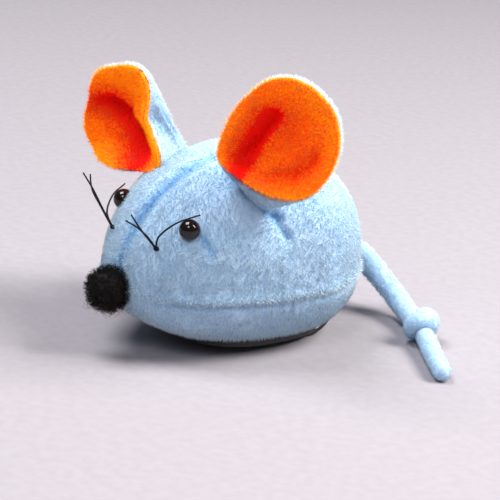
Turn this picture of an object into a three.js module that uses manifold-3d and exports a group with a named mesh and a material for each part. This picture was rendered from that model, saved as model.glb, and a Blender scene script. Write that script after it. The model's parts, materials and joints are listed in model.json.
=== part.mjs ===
// Wind-up plush mouse: a stuffed fabric body over a spring motor that drives two rear wheels.
// Millimetres, +Z up. The mouse looks along -Y, and +X is its left. The floor is z = 0, and the
// origin is the bottom centre of the object's box, the tail left out.
import * as THREE from 'three';
import { mergeVertices } from 'three/addons/utils/BufferGeometryUtils.js';
import Module from 'manifold-3d';

const wasm = await Module();
wasm.setup();

// ---- Driving dimensions ----
const GAP = 0.3; // clearance between neighbouring pieces

// Body
const BODY_FRONT = -29.2;
const BODY_REAR = 37.1;
const BODY_HALF_WIDTH = 25.6;
const BODY_TOP = 45.9;
const BODY_BOTTOM = 0.8;
const WIDEST_AT = 0.595; // share of the length, from the nose
const CORE_NOSE_Z = 16.3; // height of the body's core line at the nose, the middle and the tail
const CORE_MIDDLE_Z = 24.2;
const CORE_TAIL_Z = 15.9;
const UPPER_SQUARENESS = 2.24; // superellipse powers of the cross-section
const LOWER_SQUARENESS = 2.6;
const FABRIC = 1.5;
const SEAM_Z = 15.4; // belly seam
const SEAM_HALF_GAP = 0.15;
const SKIN_GRID = [24, 18]; // facets around and along

// Face
const NOSE_RADIUS = 5.3;
const NOSE_CENTRE = new THREE.Vector3(0, BODY_FRONT - 2.6, CORE_NOSE_Z);
const EYE_RADIUS = 2.45;
const EYE_PROUD = 0.9; // how far the bead's centre stands off the fabric
const EYE_SPOT = { y: -19.3, z: 32.3 };
const SHANK_RADIUS = 0.7;
const SHANK_LENGTH = 5;
const WASHER_RADIUS = 2.6;
const WASHER_THICKNESS = 0.7;
const WHISKER_SPOT = { y: -25, z: 27.5 };
const THREAD_RADIUS = 0.22;
const WHISKER_KNOT_RADIUS = 0.75;

// Ears: centre, upward direction, the way the opening faces, half width and half height, and the
// point of the head, just under its skin, that the folded root of the ear is sewn to
const EARS = {
  left: {
    centre: [26.5, -5.65, 55.3],
    up: [0.4, 0.05, 0.915],
    facing: [0.55, -0.8, 0.15],
    width: 12.9,
    height: 15.3,
    root: [18.9, -3.6, 36.4],
  },
  right: {
    centre: [-23.9, -14.9, 49],
    up: [-0.326, -0.282, 0.881],
    facing: [0.08, -0.965, 0.165],
    width: 13.3,
    height: 13.2,
    root: [-18.9, -3.6, 36.4],
  },
};
const EAR_CUP = 6.2; // depth of the cupped ear
const EAR_LIP = 3.6; // how far its lower edge comes forward
const EAR_CURL = 0.38; // how much its lower edge is turned up, as a share of its height
const EAR_ROOT_SPOT = { u: 0.1, v: -0.62, reach: 0.4 }; // where its back runs down to the root
const EAR_LAYER = 1.5;

// Tail: a stuffed fabric cord with one overhand knot, laid on the floor
const TAIL_ROOT_RADIUS = 2.6;
const TAIL_TIP_RADIUS = 1.7;
const TAIL_PIVOT = new THREE.Vector3(0, BODY_REAR + GAP + TAIL_ROOT_RADIUS, CORE_TAIL_Z);
const TAIL_KNOT_RADIUS = 4;
const TAIL_KNOT_AT = 0.58; // share of the tail's length
const TAIL_STEPS = 22;
const TAIL_ROUTE = [
  [0, 40, 15.9],
  [1.6, 43.2, 14],
  [5, 46, 9.8],
  [11, 47.2, 5.6],
  [19, 45.3, 3.2],
  [28, 41, 3.6],
  [36, 36.4, 2.6],
  [44, 31.6, 2.1],
  [51, 27.4, 2],
];

// Gear train: module 0.5, three arbors along X, as [y, z]
const MODULE = 0.5;
const PRESSURE_ANGLE = THREE.MathUtils.degToRad(25);
const BACKLASH = 0.12;
const GREAT_TEETH = 36;
const SECOND_TEETH = 32;
const PINION_TEETH = 12;
const WHEEL_RADIUS = 7.7;
const DRIVE_ARBOR = [19, WHEEL_RADIUS];
const SECOND_ARBOR = stepFrom(DRIVE_ARBOR, centreDistance(SECOND_TEETH, PINION_TEETH), 128);
const WINDING_ARBOR = stepFrom(SECOND_ARBOR, centreDistance(GREAT_TEETH, PINION_TEETH), 160);

// Motor case
const WALL = 1;
const CASE_HALF_WIDTH = 6.8;
const CASE_FRONT = -10.4;
const CASE_REAR = 23.8;
const CASE_TOP = 31.5;
const CASE_FRONT_BOTTOM = 6.6;
const CASE_REAR_BOTTOM = 2.95;
const CASE_STEP = 10.4; // where its floor steps down to clear the drive pinion
const CASE_SCREWS = [[-7.9, 28.9], [21.3, 28.9], [-7.9, 9.3]];
const BOSS_RADIUS = 1.7;
const ARBOR_RADIUS = 0.75;
const WINDING_RADIUS = 1.6;
const AXLE_RADIUS = 1;
const RUNNING_FIT = 0.15;
const ARBOR_END = 6.4; // how far the arbors reach into the walls of the case
const SCREW_BORE = 0.95;
const SCREW = { shank: 0.75, neck: 1.1, head: 1.6, headHeight: 0.95, slot: 0.2 };
const CASE_SCREW_LENGTH = 12.6;
const BASE_SCREW_LENGTH = 3.6;

// Mainspring
const SPRING = { turns: 4, stepsPerTurn: 14, thickness: 0.4, inside: 2.1, outside: 8, x0: -5.3, x1: -0.9 };
const SPRING_END = { radius: 9, degrees: 130 }; // where its outer end is hooked
const SPRING_POST_RADIUS = 0.6;

// Chassis
const PLATE_BOTTOM = 1.9;
const PLATE_TOP = 5.4;
const PLATE_CENTRE_Y = 7.6;
const PLATE_HALF_LENGTH = 19.4;
const PLATE_HALF_WIDTH = 16.1;
const PLATE_SQUARENESS = 2.5;
const PAD_BOTTOM = 1.7;
const PAD = { width: 14, front: 1, rear: 9 };
const BASE_SCREWS = [[9.2, -3.6], [-9.2, -3.6], [3.4, 25.3], [-3.4, 25.3]];
const WHEEL_INNER_X = 9.2;
const WHEEL_OUTER_X = 12.6;
const TYRE_INNER_RADIUS = 6.6;
const HOOD = { inner: 7.3, outer: 14.6, wall: 0.9, radius: 9.2 };
const ROLLER = { y: -6.5, radius: 3, halfWidth: 4, pin: 0.5 };

// ---- Colours ----
const COLOURS = {
  plush: new THREE.MeshStandardMaterial({ color: 0x9fcbe8, roughness: 0.95, metalness: 0 }),
  orange: new THREE.MeshStandardMaterial({ color: 0xff6a08, roughness: 0.9, metalness: 0 }),
  black: new THREE.MeshStandardMaterial({ color: 0x0c0b0b, roughness: 0.9, metalness: 0 }),
  bead: new THREE.MeshStandardMaterial({ color: 0x140c0a, roughness: 0.08, metalness: 0 }),
  filling: new THREE.MeshStandardMaterial({ color: 0xf2f0ea, roughness: 1, metalness: 0 }),
  chassis: new THREE.MeshStandardMaterial({ color: 0x34393f, roughness: 0.5, metalness: 0 }),
  housing: new THREE.MeshStandardMaterial({ color: 0xd9dcdf, roughness: 0.4, metalness: 0 }),
  gear: new THREE.MeshStandardMaterial({ color: 0xf3efe2, roughness: 0.4, metalness: 0 }),
  steel: new THREE.MeshStandardMaterial({ color: 0xb4b7ba, roughness: 0.3, metalness: 1 }),
  rubber: new THREE.MeshStandardMaterial({ color: 0x1a1a1b, roughness: 0.8, metalness: 0 }),
  key: new THREE.MeshStandardMaterial({ color: 0xeef0f2, roughness: 0.4, metalness: 0 }),
};

const mouse = new THREE.Group();

// ---- Solids ----
// One closed, merged mesh without the flat triangles that poles and lathe axes leave.
function closed(geometry) {
  const bare = geometry.clone();
  bare.deleteAttribute('normal');
  bare.deleteAttribute('uv');
  const merged = mergeVertices(bare, 1e-4);
  const corners = merged.index.array;
  const kept = [];
  for (let i = 0; i < corners.length; i += 3) {
    const [a, b, c] = [corners[i], corners[i + 1], corners[i + 2]];
    if (a !== b && b !== c && c !== a) kept.push(a, b, c);
  }
  merged.setIndex(kept);
  return merged;
}

function solid(geometry) {
  const merged = closed(geometry);
  const vertProperties = Float32Array.from(merged.attributes.position.array);
  const triVerts = Uint32Array.from(merged.index.array);
  return new wasm.Manifold(new wasm.Mesh({ numProp: 3, vertProperties, triVerts }));
}

function geometryOf(manifold) {
  const mesh = manifold.getMesh();
  const geometry = new THREE.BufferGeometry();
  geometry.setAttribute('position', new THREE.BufferAttribute(Float32Array.from(mesh.vertProperties), 3));
  geometry.setIndex(Array.from(mesh.triVerts));
  return geometry;
}

// Names a piece and hangs it in the group. The shape is a geometry or a manifold.
function addPiece(name, shape, material, position = [0, 0, 0]) {
  const geometry = shape.isBufferGeometry ? closed(shape) : geometryOf(shape);
  const mesh = new THREE.Mesh(geometry, material);
  mesh.name = name;
  mesh.position.set(...position);
  mouse.add(mesh);
  return mesh;
}

function box(x0, x1, y0, y1, z0, z1) {
  const geometry = new THREE.BoxGeometry(x1 - x0, y1 - y0, z1 - z0);
  return geometry.translate((x0 + x1) / 2, (y0 + y1) / 2, (z0 + z1) / 2);
}

// Turns a shape drawn in the YZ plane into a slab from x0 to x1.
function acrossX(shape, x0, x1, curveSegments = 12) {
  const geometry = new THREE.ExtrudeGeometry(shape, { depth: x1 - x0, bevelEnabled: false, curveSegments });
  const axes = new THREE.Matrix4().makeBasis(
    new THREE.Vector3(0, 1, 0),
    new THREE.Vector3(0, 0, 1),
    new THREE.Vector3(1, 0, 0),
  );
  return geometry.applyMatrix4(axes).translate(x0, 0, 0);
}

// A rod along X at [y, z].
function rodX(radius, x0, x1, [y, z] = [0, 0], segments = 16) {
  const geometry = new THREE.CylinderGeometry(radius, radius, x1 - x0, segments);
  return geometry.rotateZ(Math.PI / 2).translate((x0 + x1) / 2, y, z);
}

// A rod along Z at [x, y].
function rodZ(radius, z0, z1, [x, y], segments = 16) {
  const geometry = new THREE.CylinderGeometry(radius, radius, z1 - z0, segments);
  return geometry.rotateX(Math.PI / 2).translate(x, y, (z0 + z1) / 2);
}

// A turned piece about X, from [radius, x] points listed with x rising on the outside.
function turnedX(profile, segments = 24) {
  const points = profile.map(([radius, x]) => new THREE.Vector2(radius, x));
  return new THREE.LatheGeometry(points, segments).rotateZ(-Math.PI / 2);
}

function unionOf(geometries) {
  return geometries.map(solid).reduce((sum, next) => sum.add(next));
}

function outline(points) {
  return new THREE.Shape(points.map(([a, b]) => new THREE.Vector2(a, b)));
}

// ---- Gear layout ----
function centreDistance(teeth, pinionTeeth) {
  return (MODULE * (teeth + pinionTeeth)) / 2;
}

function stepFrom([y, z], distance, degrees) {
  const angle = THREE.MathUtils.degToRad(degrees);
  return [y + distance * Math.cos(angle), z + distance * Math.sin(angle)];
}

// ---- Body surface ----
// Height of the core line and the three radii at a share of the length, 0 at the nose.
function station(along, inset) {
  const front = along < WIDEST_AT;
  const x = front ? along / WIDEST_AT : (1 - along) / (1 - WIDEST_AT);
  const swell = (power, root) => (1 - (1 - Math.min(x, 1)) ** power) ** (1 / root);
  const end = front ? CORE_NOSE_Z : CORE_TAIL_Z;
  const core = end + (CORE_MIDDLE_Z - end) * Math.sin((x * Math.PI) / 2);
  return {
    core,
    side: (front ? swell(2.085, 2.11) : swell(1.75, 1.75)) * (BODY_HALF_WIDTH - inset),
    above: (front ? swell(2.085, 2.01) : swell(1.75, 1.75)) * (BODY_TOP - inset - core),
    below: (front ? swell(2.6, 1.8) : swell(2.6, 2.2)) * (core - inset - BODY_BOTTOM),
  };
}

// Maps a point of the unit sphere, poles on Y, to the body's skin, or to a layer inset below it.
function bodyPoint(unit, inset) {
  const along = (1 + unit.y) / 2;
  const { core, side, above, below } = station(along, inset);
  const ring = Math.hypot(unit.x, unit.z) || 1;
  const [across, up] = [unit.x / ring, unit.z / ring];
  const power = 2 / (up >= 0 ? UPPER_SQUARENESS : LOWER_SQUARENESS);
  const reach = up >= 0 ? above : below;
  const length = BODY_REAR - BODY_FRONT - 2 * inset;
  return new THREE.Vector3(
    side * Math.sign(across) * Math.abs(across) ** power,
    BODY_FRONT + inset + length * along,
    core + reach * Math.sign(up) * Math.abs(up) ** power,
  );
}

function bodySolid(inset, around, lengthwise) {
  const geometry = new THREE.SphereGeometry(1, around, lengthwise);
  const position = geometry.attributes.position;
  const unit = new THREE.Vector3();
  for (let i = 0; i < position.count; i++) {
    unit.fromBufferAttribute(position, i);
    position.setXYZ(i, ...bodyPoint(unit, inset));
  }
  return solid(geometry);
}

// The point of the skin at a given y and z, on the left (+1) or right (-1), and its normal.
function skinSpot({ y, z }, side) {
  const at = (py, pz) => {
    const along = (py - BODY_FRONT) / (BODY_REAR - BODY_FRONT);
    const radii = station(along, 0);
    const rise = pz >= radii.core ? (pz - radii.core) / radii.above : (radii.core - pz) / radii.below;
    const power = pz >= radii.core ? UPPER_SQUARENESS : LOWER_SQUARENESS;
    return new THREE.Vector3(side * radii.side * (1 - rise ** power) ** (1 / power), py, pz);
  };
  const step = 0.1;
  const point = at(y, z);
  const alongY = at(y + step, z).sub(point);
  const alongZ = at(y, z + step).sub(point);
  const normal = alongY.cross(alongZ).normalize();
  if (normal.x * side < 0) normal.negate();
  return { point, normal };
}

// ---- Chassis ----
function plateOutline(grow) {
  const points = [];
  const count = 32;
  for (let i = 0; i < count; i++) {
    const angle = (2 * Math.PI * i) / count;
    const power = 2 / PLATE_SQUARENESS;
    const [c, s] = [Math.cos(angle), Math.sin(angle)];
    points.push([
      (PLATE_HALF_WIDTH + grow) * Math.sign(c) * Math.abs(c) ** power,
      PLATE_CENTRE_Y + (PLATE_HALF_LENGTH + grow) * Math.sign(s) * Math.abs(s) ** power,
    ]);
  }
  return outline(points);
}

function plateSlab(grow, z0, z1) {
  const geometry = new THREE.ExtrudeGeometry(plateOutline(grow), { depth: z1 - z0, bevelEnabled: false });
  return geometry.translate(0, 0, z0);
}

// An arch over a wheel: half round above the axle and straight below it, down to z0.
function archOver(side, x0, x1, radius, z0) {
  const [y, z] = DRIVE_ARBOR;
  const shape = new THREE.Shape();
  shape.moveTo(y - radius, z0);
  shape.lineTo(y + radius, z0);
  shape.lineTo(y + radius, z);
  shape.absarc(y, z, radius, 0, Math.PI, false);
  shape.closePath();
  return side > 0 ? acrossX(shape, x0, x1, 9) : acrossX(shape, -x1, -x0, 9);
}

function hoodOutside(side, grow) {
  return archOver(side, HOOD.inner - grow, HOOD.outer + grow, HOOD.radius + grow, PLATE_BOTTOM + 1 - grow);
}

function makeBasePlate(skin) {
  const hoods = [1, -1].map((side) => solid(hoodOutside(side, 0)).intersect(skin));
  let plate = solid(plateSlab(0, PLATE_BOTTOM, PLATE_TOP));
  plate = hoods.reduce((sum, hood) => sum.add(hood), plate);
  plate = plate.add(solid(box(-PAD.width / 2, PAD.width / 2, PAD.front, PAD.rear, PAD_BOTTOM, PLATE_BOTTOM + 1)));
  const [axleY, axleZ] = DRIVE_ARBOR;
  const cuts = [];
  for (const side of [1, -1]) {
    cuts.push(archOver(side, HOOD.inner + HOOD.wall, HOOD.outer - HOOD.wall, HOOD.radius - HOOD.wall, -1));
    cuts.push(archSlot(side, axleY, axleZ));
  }
  const caseSide = CASE_HALF_WIDTH + GAP;
  cuts.push(box(-caseSide, caseSide, CASE_STEP, CASE_REAR + GAP, 0, PLATE_TOP + 1));
  const { y, radius, halfWidth, pin } = ROLLER;
  cuts.push(box(-halfWidth - 0.4, halfWidth + 0.4, y - radius - 0.5, y + radius + 0.5, 0, PLATE_TOP + 1));
  cuts.push(rodX(pin + RUNNING_FIT, -halfWidth - 2.2, halfWidth + 2.2, [y, radius], 12));
  for (const spot of BASE_SCREWS) {
    cuts.push(rodZ(1.95, 0, PLATE_BOTTOM + 1.5, spot, 16));
    cuts.push(rodZ(SCREW_BORE, 0, PLATE_TOP + 1, spot, 12));
  }
  return cuts.map(solid).reduce((left, cut) => left.subtract(cut), plate);
}

// The slot in a hood's inner wall that the drive axle drops into.
function archSlot(side, y, z) {
  const half = AXLE_RADIUS + 0.3;
  const [x0, x1] = [HOOD.inner - 0.5, HOOD.inner + HOOD.wall + 0.2];
  return side > 0 ? box(x0, x1, y - half, y + half, 0, z + half) : box(-x1, -x0, y - half, y + half, 0, z + half);
}

// ---- Motor case ----
function caseOutline(inset) {
  const corner = 1.6;
  const [front, rear, top] = [CASE_FRONT + inset, CASE_REAR - inset, CASE_TOP - inset];
  const [low, high] = [CASE_REAR_BOTTOM + inset, CASE_FRONT_BOTTOM + inset];
  return outline([
    [front, high + corner],
    [front + corner, high],
    [CASE_STEP + inset, high],
    [CASE_STEP + 2.6 + inset, low],
    [rear - corner, low],
    [rear, low + corner],
    [rear, top - corner],
    [rear - corner, top],
    [front + corner, top],
    [front, top - corner],
  ]);
}

function makeCaseHalf(side) {
  const half = (x0, x1) => (side > 0 ? [x0, x1] : [-x1, -x0]);
  const split = 0.1;
  let shell = solid(acrossX(caseOutline(0), ...half(split, CASE_HALF_WIDTH)));
  shell = shell.subtract(solid(acrossX(caseOutline(WALL), ...half(split - 1, CASE_HALF_WIDTH - WALL))));
  for (const spot of CASE_SCREWS) {
    shell = shell.add(solid(rodX(BOSS_RADIUS, ...half(split, CASE_HALF_WIDTH - 0.5), spot, 14)));
  }
  for (const [x, y] of BASE_SCREWS) {
    if (x * side > 0) shell = shell.add(solid(lugAt(side, y)));
  }
  const cuts = [
    rodX(WINDING_RADIUS + RUNNING_FIT, ...(side > 0 ? [4, 6.6] : [-8, -4]), WINDING_ARBOR, 16),
    rodX(ARBOR_RADIUS + RUNNING_FIT, ...half(5, 6.6), SECOND_ARBOR, 12),
    rodX(AXLE_RADIUS + RUNNING_FIT, ...half(5, 8), DRIVE_ARBOR, 16),
  ];
  for (const spot of CASE_SCREWS) {
    cuts.push(rodX(SCREW_BORE, ...(side > 0 ? [-1, 8] : [-6.2, 1]), spot, 12));
  }
  for (const [x, y] of BASE_SCREWS) {
    if (x * side > 0) cuts.push(rodZ(SCREW_BORE, 4, 7.2, [x, y], 12));
  }
  if (side < 0) cuts.push(rodX(SPRING_POST_RADIUS + RUNNING_FIT, -6.5, -5, springPostSpot(), 10));
  return cuts.map(solid).reduce((left, cut) => left.subtract(cut), shell);
}

// A foot on a case half, beside the case at the front and behind it at the rear.
function lugAt(side, y) {
  const [z0, z1] = [PLATE_TOP + 0.15, 7.6];
  const [x0, x1] = y < 0 ? [CASE_HALF_WIDTH - 0.5, 11.2] : [1.6, 5.4];
  const [y0, y1] = y < 0 ? [y - 2, y + 2] : [CASE_REAR - 0.6, 26.8];
  return side > 0 ? box(x0, x1, y0, y1, z0, z1) : box(-x1, -x0, y0, y1, z0, z1);
}

function springPostSpot() {
  return stepFrom(WINDING_ARBOR, SPRING_END.radius, SPRING_END.degrees);
}

// ---- Gears ----
// A spur gear drawn in the YZ plane about its own centre, with straight-sided teeth.
function gearOutline(teeth, bore, turn) {
  const pitch = (MODULE * teeth) / 2;
  const [tip, root] = [pitch + 0.9 * MODULE, pitch - 1.15 * MODULE];
  const half = Math.PI / (2 * teeth) - BACKLASH / (2 * pitch);
  const lean = (radius) => half - ((radius - pitch) * Math.tan(PRESSURE_ANGLE)) / pitch;
  const points = [];
  for (let i = 0; i < teeth; i++) {
    const middle = turn + (2 * Math.PI * i) / teeth;
    const corners = [[root, -lean(root)], [tip, -lean(tip)], [tip, lean(tip)], [root, lean(root)]];
    for (const [radius, angle] of corners) {
      points.push([radius * Math.cos(middle + angle), radius * Math.sin(middle + angle)]);
    }
  }
  const shape = outline(points);
  shape.holes.push(new THREE.Path().absarc(0, 0, bore, 0, 2 * Math.PI, true));
  return shape;
}

// The turn that puts a tooth, or a gap, on the line from one arbor to the next.
function facing(from, to, teeth, gap) {
  const angle = Math.atan2(to[1] - from[1], to[0] - from[0]);
  return angle + (gap ? Math.PI / teeth : 0);
}

function addGearTrain() {
  const greatTurn = facing(WINDING_ARBOR, SECOND_ARBOR, GREAT_TEETH, false);
  const smallTurn = facing(SECOND_ARBOR, WINDING_ARBOR, PINION_TEETH, true);
  const secondTurn = facing(SECOND_ARBOR, DRIVE_ARBOR, SECOND_TEETH, false);
  const driveTurn = facing(DRIVE_ARBOR, SECOND_ARBOR, PINION_TEETH, true);
  const at = ([y, z]) => [0, y, z];

  const greatBore = WINDING_RADIUS + RUNNING_FIT;
  const great = acrossX(gearOutline(GREAT_TEETH, greatBore, greatTurn), 1, 2.6, 5);
  addPiece('great_wheel', great, COLOURS.gear, at(WINDING_ARBOR));

  const bore = ARBOR_RADIUS + RUNNING_FIT;
  const pinion = solid(acrossX(gearOutline(PINION_TEETH, bore, smallTurn), 0.8, 3.4, 4));
  const second = solid(acrossX(gearOutline(SECOND_TEETH, bore, secondTurn), 3.2, 4.8, 4));
  addPiece('second_gear', pinion.add(second), COLOURS.gear, at(SECOND_ARBOR));
  addPiece('second_arbor', rodX(ARBOR_RADIUS, -ARBOR_END, ARBOR_END, [0, 0], 12), COLOURS.steel, at(SECOND_ARBOR));

  const axleBore = AXLE_RADIUS + RUNNING_FIT;
  const drivePinion = acrossX(gearOutline(PINION_TEETH, axleBore, driveTurn), 3, 5.1, 4);
  addPiece('axle_pinion', drivePinion, COLOURS.gear, at(DRIVE_ARBOR));
  addPiece('drive_axle', rodX(AXLE_RADIUS, -12.9, 12.9, [0, 0], 16), COLOURS.steel, at(DRIVE_ARBOR));
}

// ---- Winding side ----
const RATCHET = { teeth: 10, tip: 4.6, root: 3.5, turn: 0.1, x0: -0.5, x1: 0.6 };

function addRatchet() {
  const points = [];
  const pitch = (2 * Math.PI) / RATCHET.teeth;
  for (let i = 0; i < RATCHET.teeth; i++) {
    const root = i * pitch - RATCHET.turn;
    const tip = root + 0.86 * pitch;
    points.push([RATCHET.root * Math.cos(root), RATCHET.root * Math.sin(root)]);
    points.push([RATCHET.tip * Math.cos(tip), RATCHET.tip * Math.sin(tip)]);
  }
  const shape = outline(points);
  shape.holes.push(new THREE.Path().absarc(0, 0, WINDING_RADIUS + RUNNING_FIT, 0, 2 * Math.PI, true));
  const at = [0, ...WINDING_ARBOR];
  addPiece('ratchet_wheel', acrossX(shape, RATCHET.x0, RATCHET.x1, 5), COLOURS.steel, at);

  const click = outline([[4.05, 0.1], [4.7, -0.35], [5.7, 2.4], [5.8, 5.4], [5, 6.4], [4.1, 6.1], [3.9, 5.2], [4.85, 2.6]]);
  addPiece('ratchet_click', acrossX(click, RATCHET.x0, RATCHET.x1), COLOURS.steel, at);
}

function addMainspring() {
  const { turns, stepsPerTurn, thickness, inside, outside } = SPRING;
  const start = THREE.MathUtils.degToRad(SPRING_END.degrees);
  const edge = (offset) => {
    const points = [];
    for (let i = 0; i <= turns * stepsPerTurn; i++) {
      const share = i / (turns * stepsPerTurn);
      const angle = start - 2 * Math.PI * turns * (1 - share);
      const radius = inside + (outside - inside) * share + offset;
      points.push([radius * Math.cos(angle), radius * Math.sin(angle)]);
    }
    return points;
  };
  const shape = outline([...edge(thickness), ...edge(0).reverse()]);
  addPiece('mainspring', acrossX(shape, SPRING.x0, SPRING.x1), COLOURS.steel, [0, ...WINDING_ARBOR]);
  const post = rodX(SPRING_POST_RADIUS, -ARBOR_END, SPRING.x1, [0, 0], 10);
  addPiece('spring_post', post, COLOURS.steel, [0, ...springPostSpot()]);
}

const KEY = {
  stemOuter: 2.7,
  near: -27.4,
  far: -37.9,
  span: 7.2,
  thickness: 1.7,
  tilt: 35,
  arborEnd: -31.5,
  hole: { at: 4.6, along: 1.3, across: 1.7 },
};

function addWindingKey() {
  const arbor = solid(rodX(WINDING_RADIUS, KEY.arborEnd, ARBOR_END, [0, 0], 16));
  addPiece('winding_arbor', arbor, COLOURS.steel, [0, ...WINDING_ARBOR]);

  const wing = new THREE.Shape();
  const [middle, lobe] = [(KEY.near - 2.2 + KEY.far) / 2, (KEY.near - 2.2 - KEY.far) / 2 + 0.6];
  wing.absellipse(0, 0, KEY.span, lobe, 0, 2 * Math.PI, false, 0);
  for (const end of [1, -1]) {
    const { at, along, across } = KEY.hole;
    wing.holes.push(new THREE.Path().absellipse(end * at, 0, along, across, 0, 2 * Math.PI, true, 0));
  }
  const plate = new THREE.ExtrudeGeometry(wing, { depth: KEY.thickness, bevelEnabled: false, curveSegments: 9 });
  const axes = new THREE.Matrix4().makeBasis(
    new THREE.Vector3(0, 0, 1),
    new THREE.Vector3(1, 0, 0),
    new THREE.Vector3(0, 1, 0),
  );
  plate.applyMatrix4(axes).translate(middle, -KEY.thickness / 2, 0);
  const stem = rodX(KEY.stemOuter, KEY.far + 2.4, KEY.near, [0, 0], 14);
  const socket = rodX(WINDING_RADIUS + RUNNING_FIT, KEY.arborEnd - GAP, KEY.near + 1, [0, 0], 16);
  const key = solid(plate).add(solid(stem)).subtract(solid(socket));
  const mesh = addPiece('winding_key', key, COLOURS.key, [0, ...WINDING_ARBOR]);
  mesh.rotation.x = THREE.MathUtils.degToRad(-KEY.tilt);
}

// ---- Running gear ----
function addWheels() {
  const bore = AXLE_RADIUS + RUNNING_FIT;
  const width = WHEEL_OUTER_X - WHEEL_INNER_X;
  const rim = TYRE_INNER_RADIUS - RUNNING_FIT;
  const wheel = turnedX([
    [bore, 0], [bore, width], [2.3, width], [2.3, width - 1.1], [5.2, width - 1.1], [5.2, width - 0.1],
    [rim, width - 0.1], [rim, 0.1], [5.2, 0.1], [5.2, 1.1], [2.3, 1.1], [2.3, 0], [bore, 0],
  ].reverse(), 16);
  const tyre = turnedX([
    [TYRE_INNER_RADIUS, 0], [WHEEL_RADIUS - 0.4, 0], [WHEEL_RADIUS, 0.5], [WHEEL_RADIUS, width - 0.5],
    [WHEEL_RADIUS - 0.4, width], [TYRE_INNER_RADIUS, width], [TYRE_INNER_RADIUS, 0],
  ], 24);
  for (const [name, side] of [['left', 1], ['right', -1]]) {
    const at = [side > 0 ? WHEEL_INNER_X : -WHEEL_OUTER_X, ...DRIVE_ARBOR];
    addPiece(`${name}_wheel`, wheel, COLOURS.housing, at);
    addPiece(`${name}_tyre`, tyre, COLOURS.rubber, at);
  }
}

function addRoller() {
  const { y, radius, halfWidth, pin } = ROLLER;
  const roller = turnedX([
    [pin + RUNNING_FIT, -halfWidth], [radius - 0.5, -halfWidth], [radius, 0.5 - halfWidth],
    [radius, halfWidth - 0.5], [radius - 0.5, halfWidth], [pin + RUNNING_FIT, halfWidth],
    [pin + RUNNING_FIT, -halfWidth],
  ], 18);
  addPiece('front_roller', roller, COLOURS.rubber, [0, y, radius]);
  addPiece('roller_pin', rodX(pin, -halfWidth - 2, halfWidth + 2, [0, 0], 10), COLOURS.steel, [0, y, radius]);
}

function addScrews() {
  const { shank, neck, head, headHeight, slot } = SCREW;
  const screw = (length) => unionOf([
    new THREE.CylinderGeometry(shank, shank, length, 8).translate(0, -length / 2, 0),
    new THREE.CylinderGeometry(neck, head, headHeight, 10).translate(0, 0.4, 0),
  ]).subtract(solid(box(-1, 1, 0.5, 2, -slot, slot))).subtract(solid(box(-slot, slot, 0.5, 2, -1, 1)));
  CASE_SCREWS.forEach(([y, z], i) => {
    const mesh = addPiece(`case_screw_${i + 1}`, screw(CASE_SCREW_LENGTH), COLOURS.steel, [CASE_HALF_WIDTH + 0.2, y, z]);
    mesh.rotation.z = -Math.PI / 2;
  });
  BASE_SCREWS.forEach(([x, y], i) => {
    const mesh = addPiece(`base_screw_${i + 1}`, screw(BASE_SCREW_LENGTH), COLOURS.steel, [x, y, PLATE_BOTTOM + 1.3]);
    mesh.rotation.x = -Math.PI / 2;
  });
}

// ---- Soft body ----
function eyeParts(side) {
  const { point, normal } = skinSpot(EYE_SPOT, side);
  const turn = new THREE.Quaternion().setFromUnitVectors(new THREE.Vector3(0, 1, 0), normal);
  const place = (geometry) => geometry.applyQuaternion(turn).translate(...point);
  const bead = (radius) => place(new THREE.SphereGeometry(radius, 14, 10).translate(0, EYE_PROUD, 0));
  const shank = (radius, reach) =>
    place(new THREE.CylinderGeometry(radius, radius, reach, 10).translate(0, -reach / 2, 0));
  const inner = SHANK_RADIUS + 0.2;
  const under = -FABRIC - GAP - 0.6;
  const ring = [
    [inner, under - WASHER_THICKNESS], [WASHER_RADIUS, under - WASHER_THICKNESS], [WASHER_RADIUS, under],
    [inner, under], [inner, under - WASHER_THICKNESS],
  ];
  const washer = place(new THREE.LatheGeometry(ring.map(([r, h]) => new THREE.Vector2(r, h)), 16));
  const pocketHeight = 2 * GAP + WASHER_THICKNESS;
  const pocket = place(
    new THREE.CylinderGeometry(WASHER_RADIUS + GAP, WASHER_RADIUS + GAP, pocketHeight, 14)
      .translate(0, under - WASHER_THICKNESS / 2, 0),
  );
  return {
    eye: unionOf([bead(EYE_RADIUS), shank(SHANK_RADIUS, SHANK_LENGTH)]),
    washer,
    panelCut: unionOf([bead(EYE_RADIUS + GAP), shank(SHANK_RADIUS + GAP, SHANK_LENGTH)]),
    fillingCut: unionOf([pocket, bead(EYE_RADIUS + GAP), shank(SHANK_RADIUS + GAP, SHANK_LENGTH + GAP)]),
  };
}

const EYELET = { flange: 3.6, neck: 2.6, bore: 1.95, outside: 26.6, inside: 23.2, flangeThickness: 0.9 };

function addEyelet() {
  const { flange, neck, bore, outside, inside, flangeThickness } = EYELET;
  const profile = [
    [bore, -outside], [flange, -outside], [flange, flangeThickness - outside], [neck, flangeThickness - outside],
    [neck, -inside], [bore, -inside], [bore, -outside],
  ];
  addPiece('key_eyelet', turnedX(profile, 16), COLOURS.chassis, [0, ...WINDING_ARBOR]);
}

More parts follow.
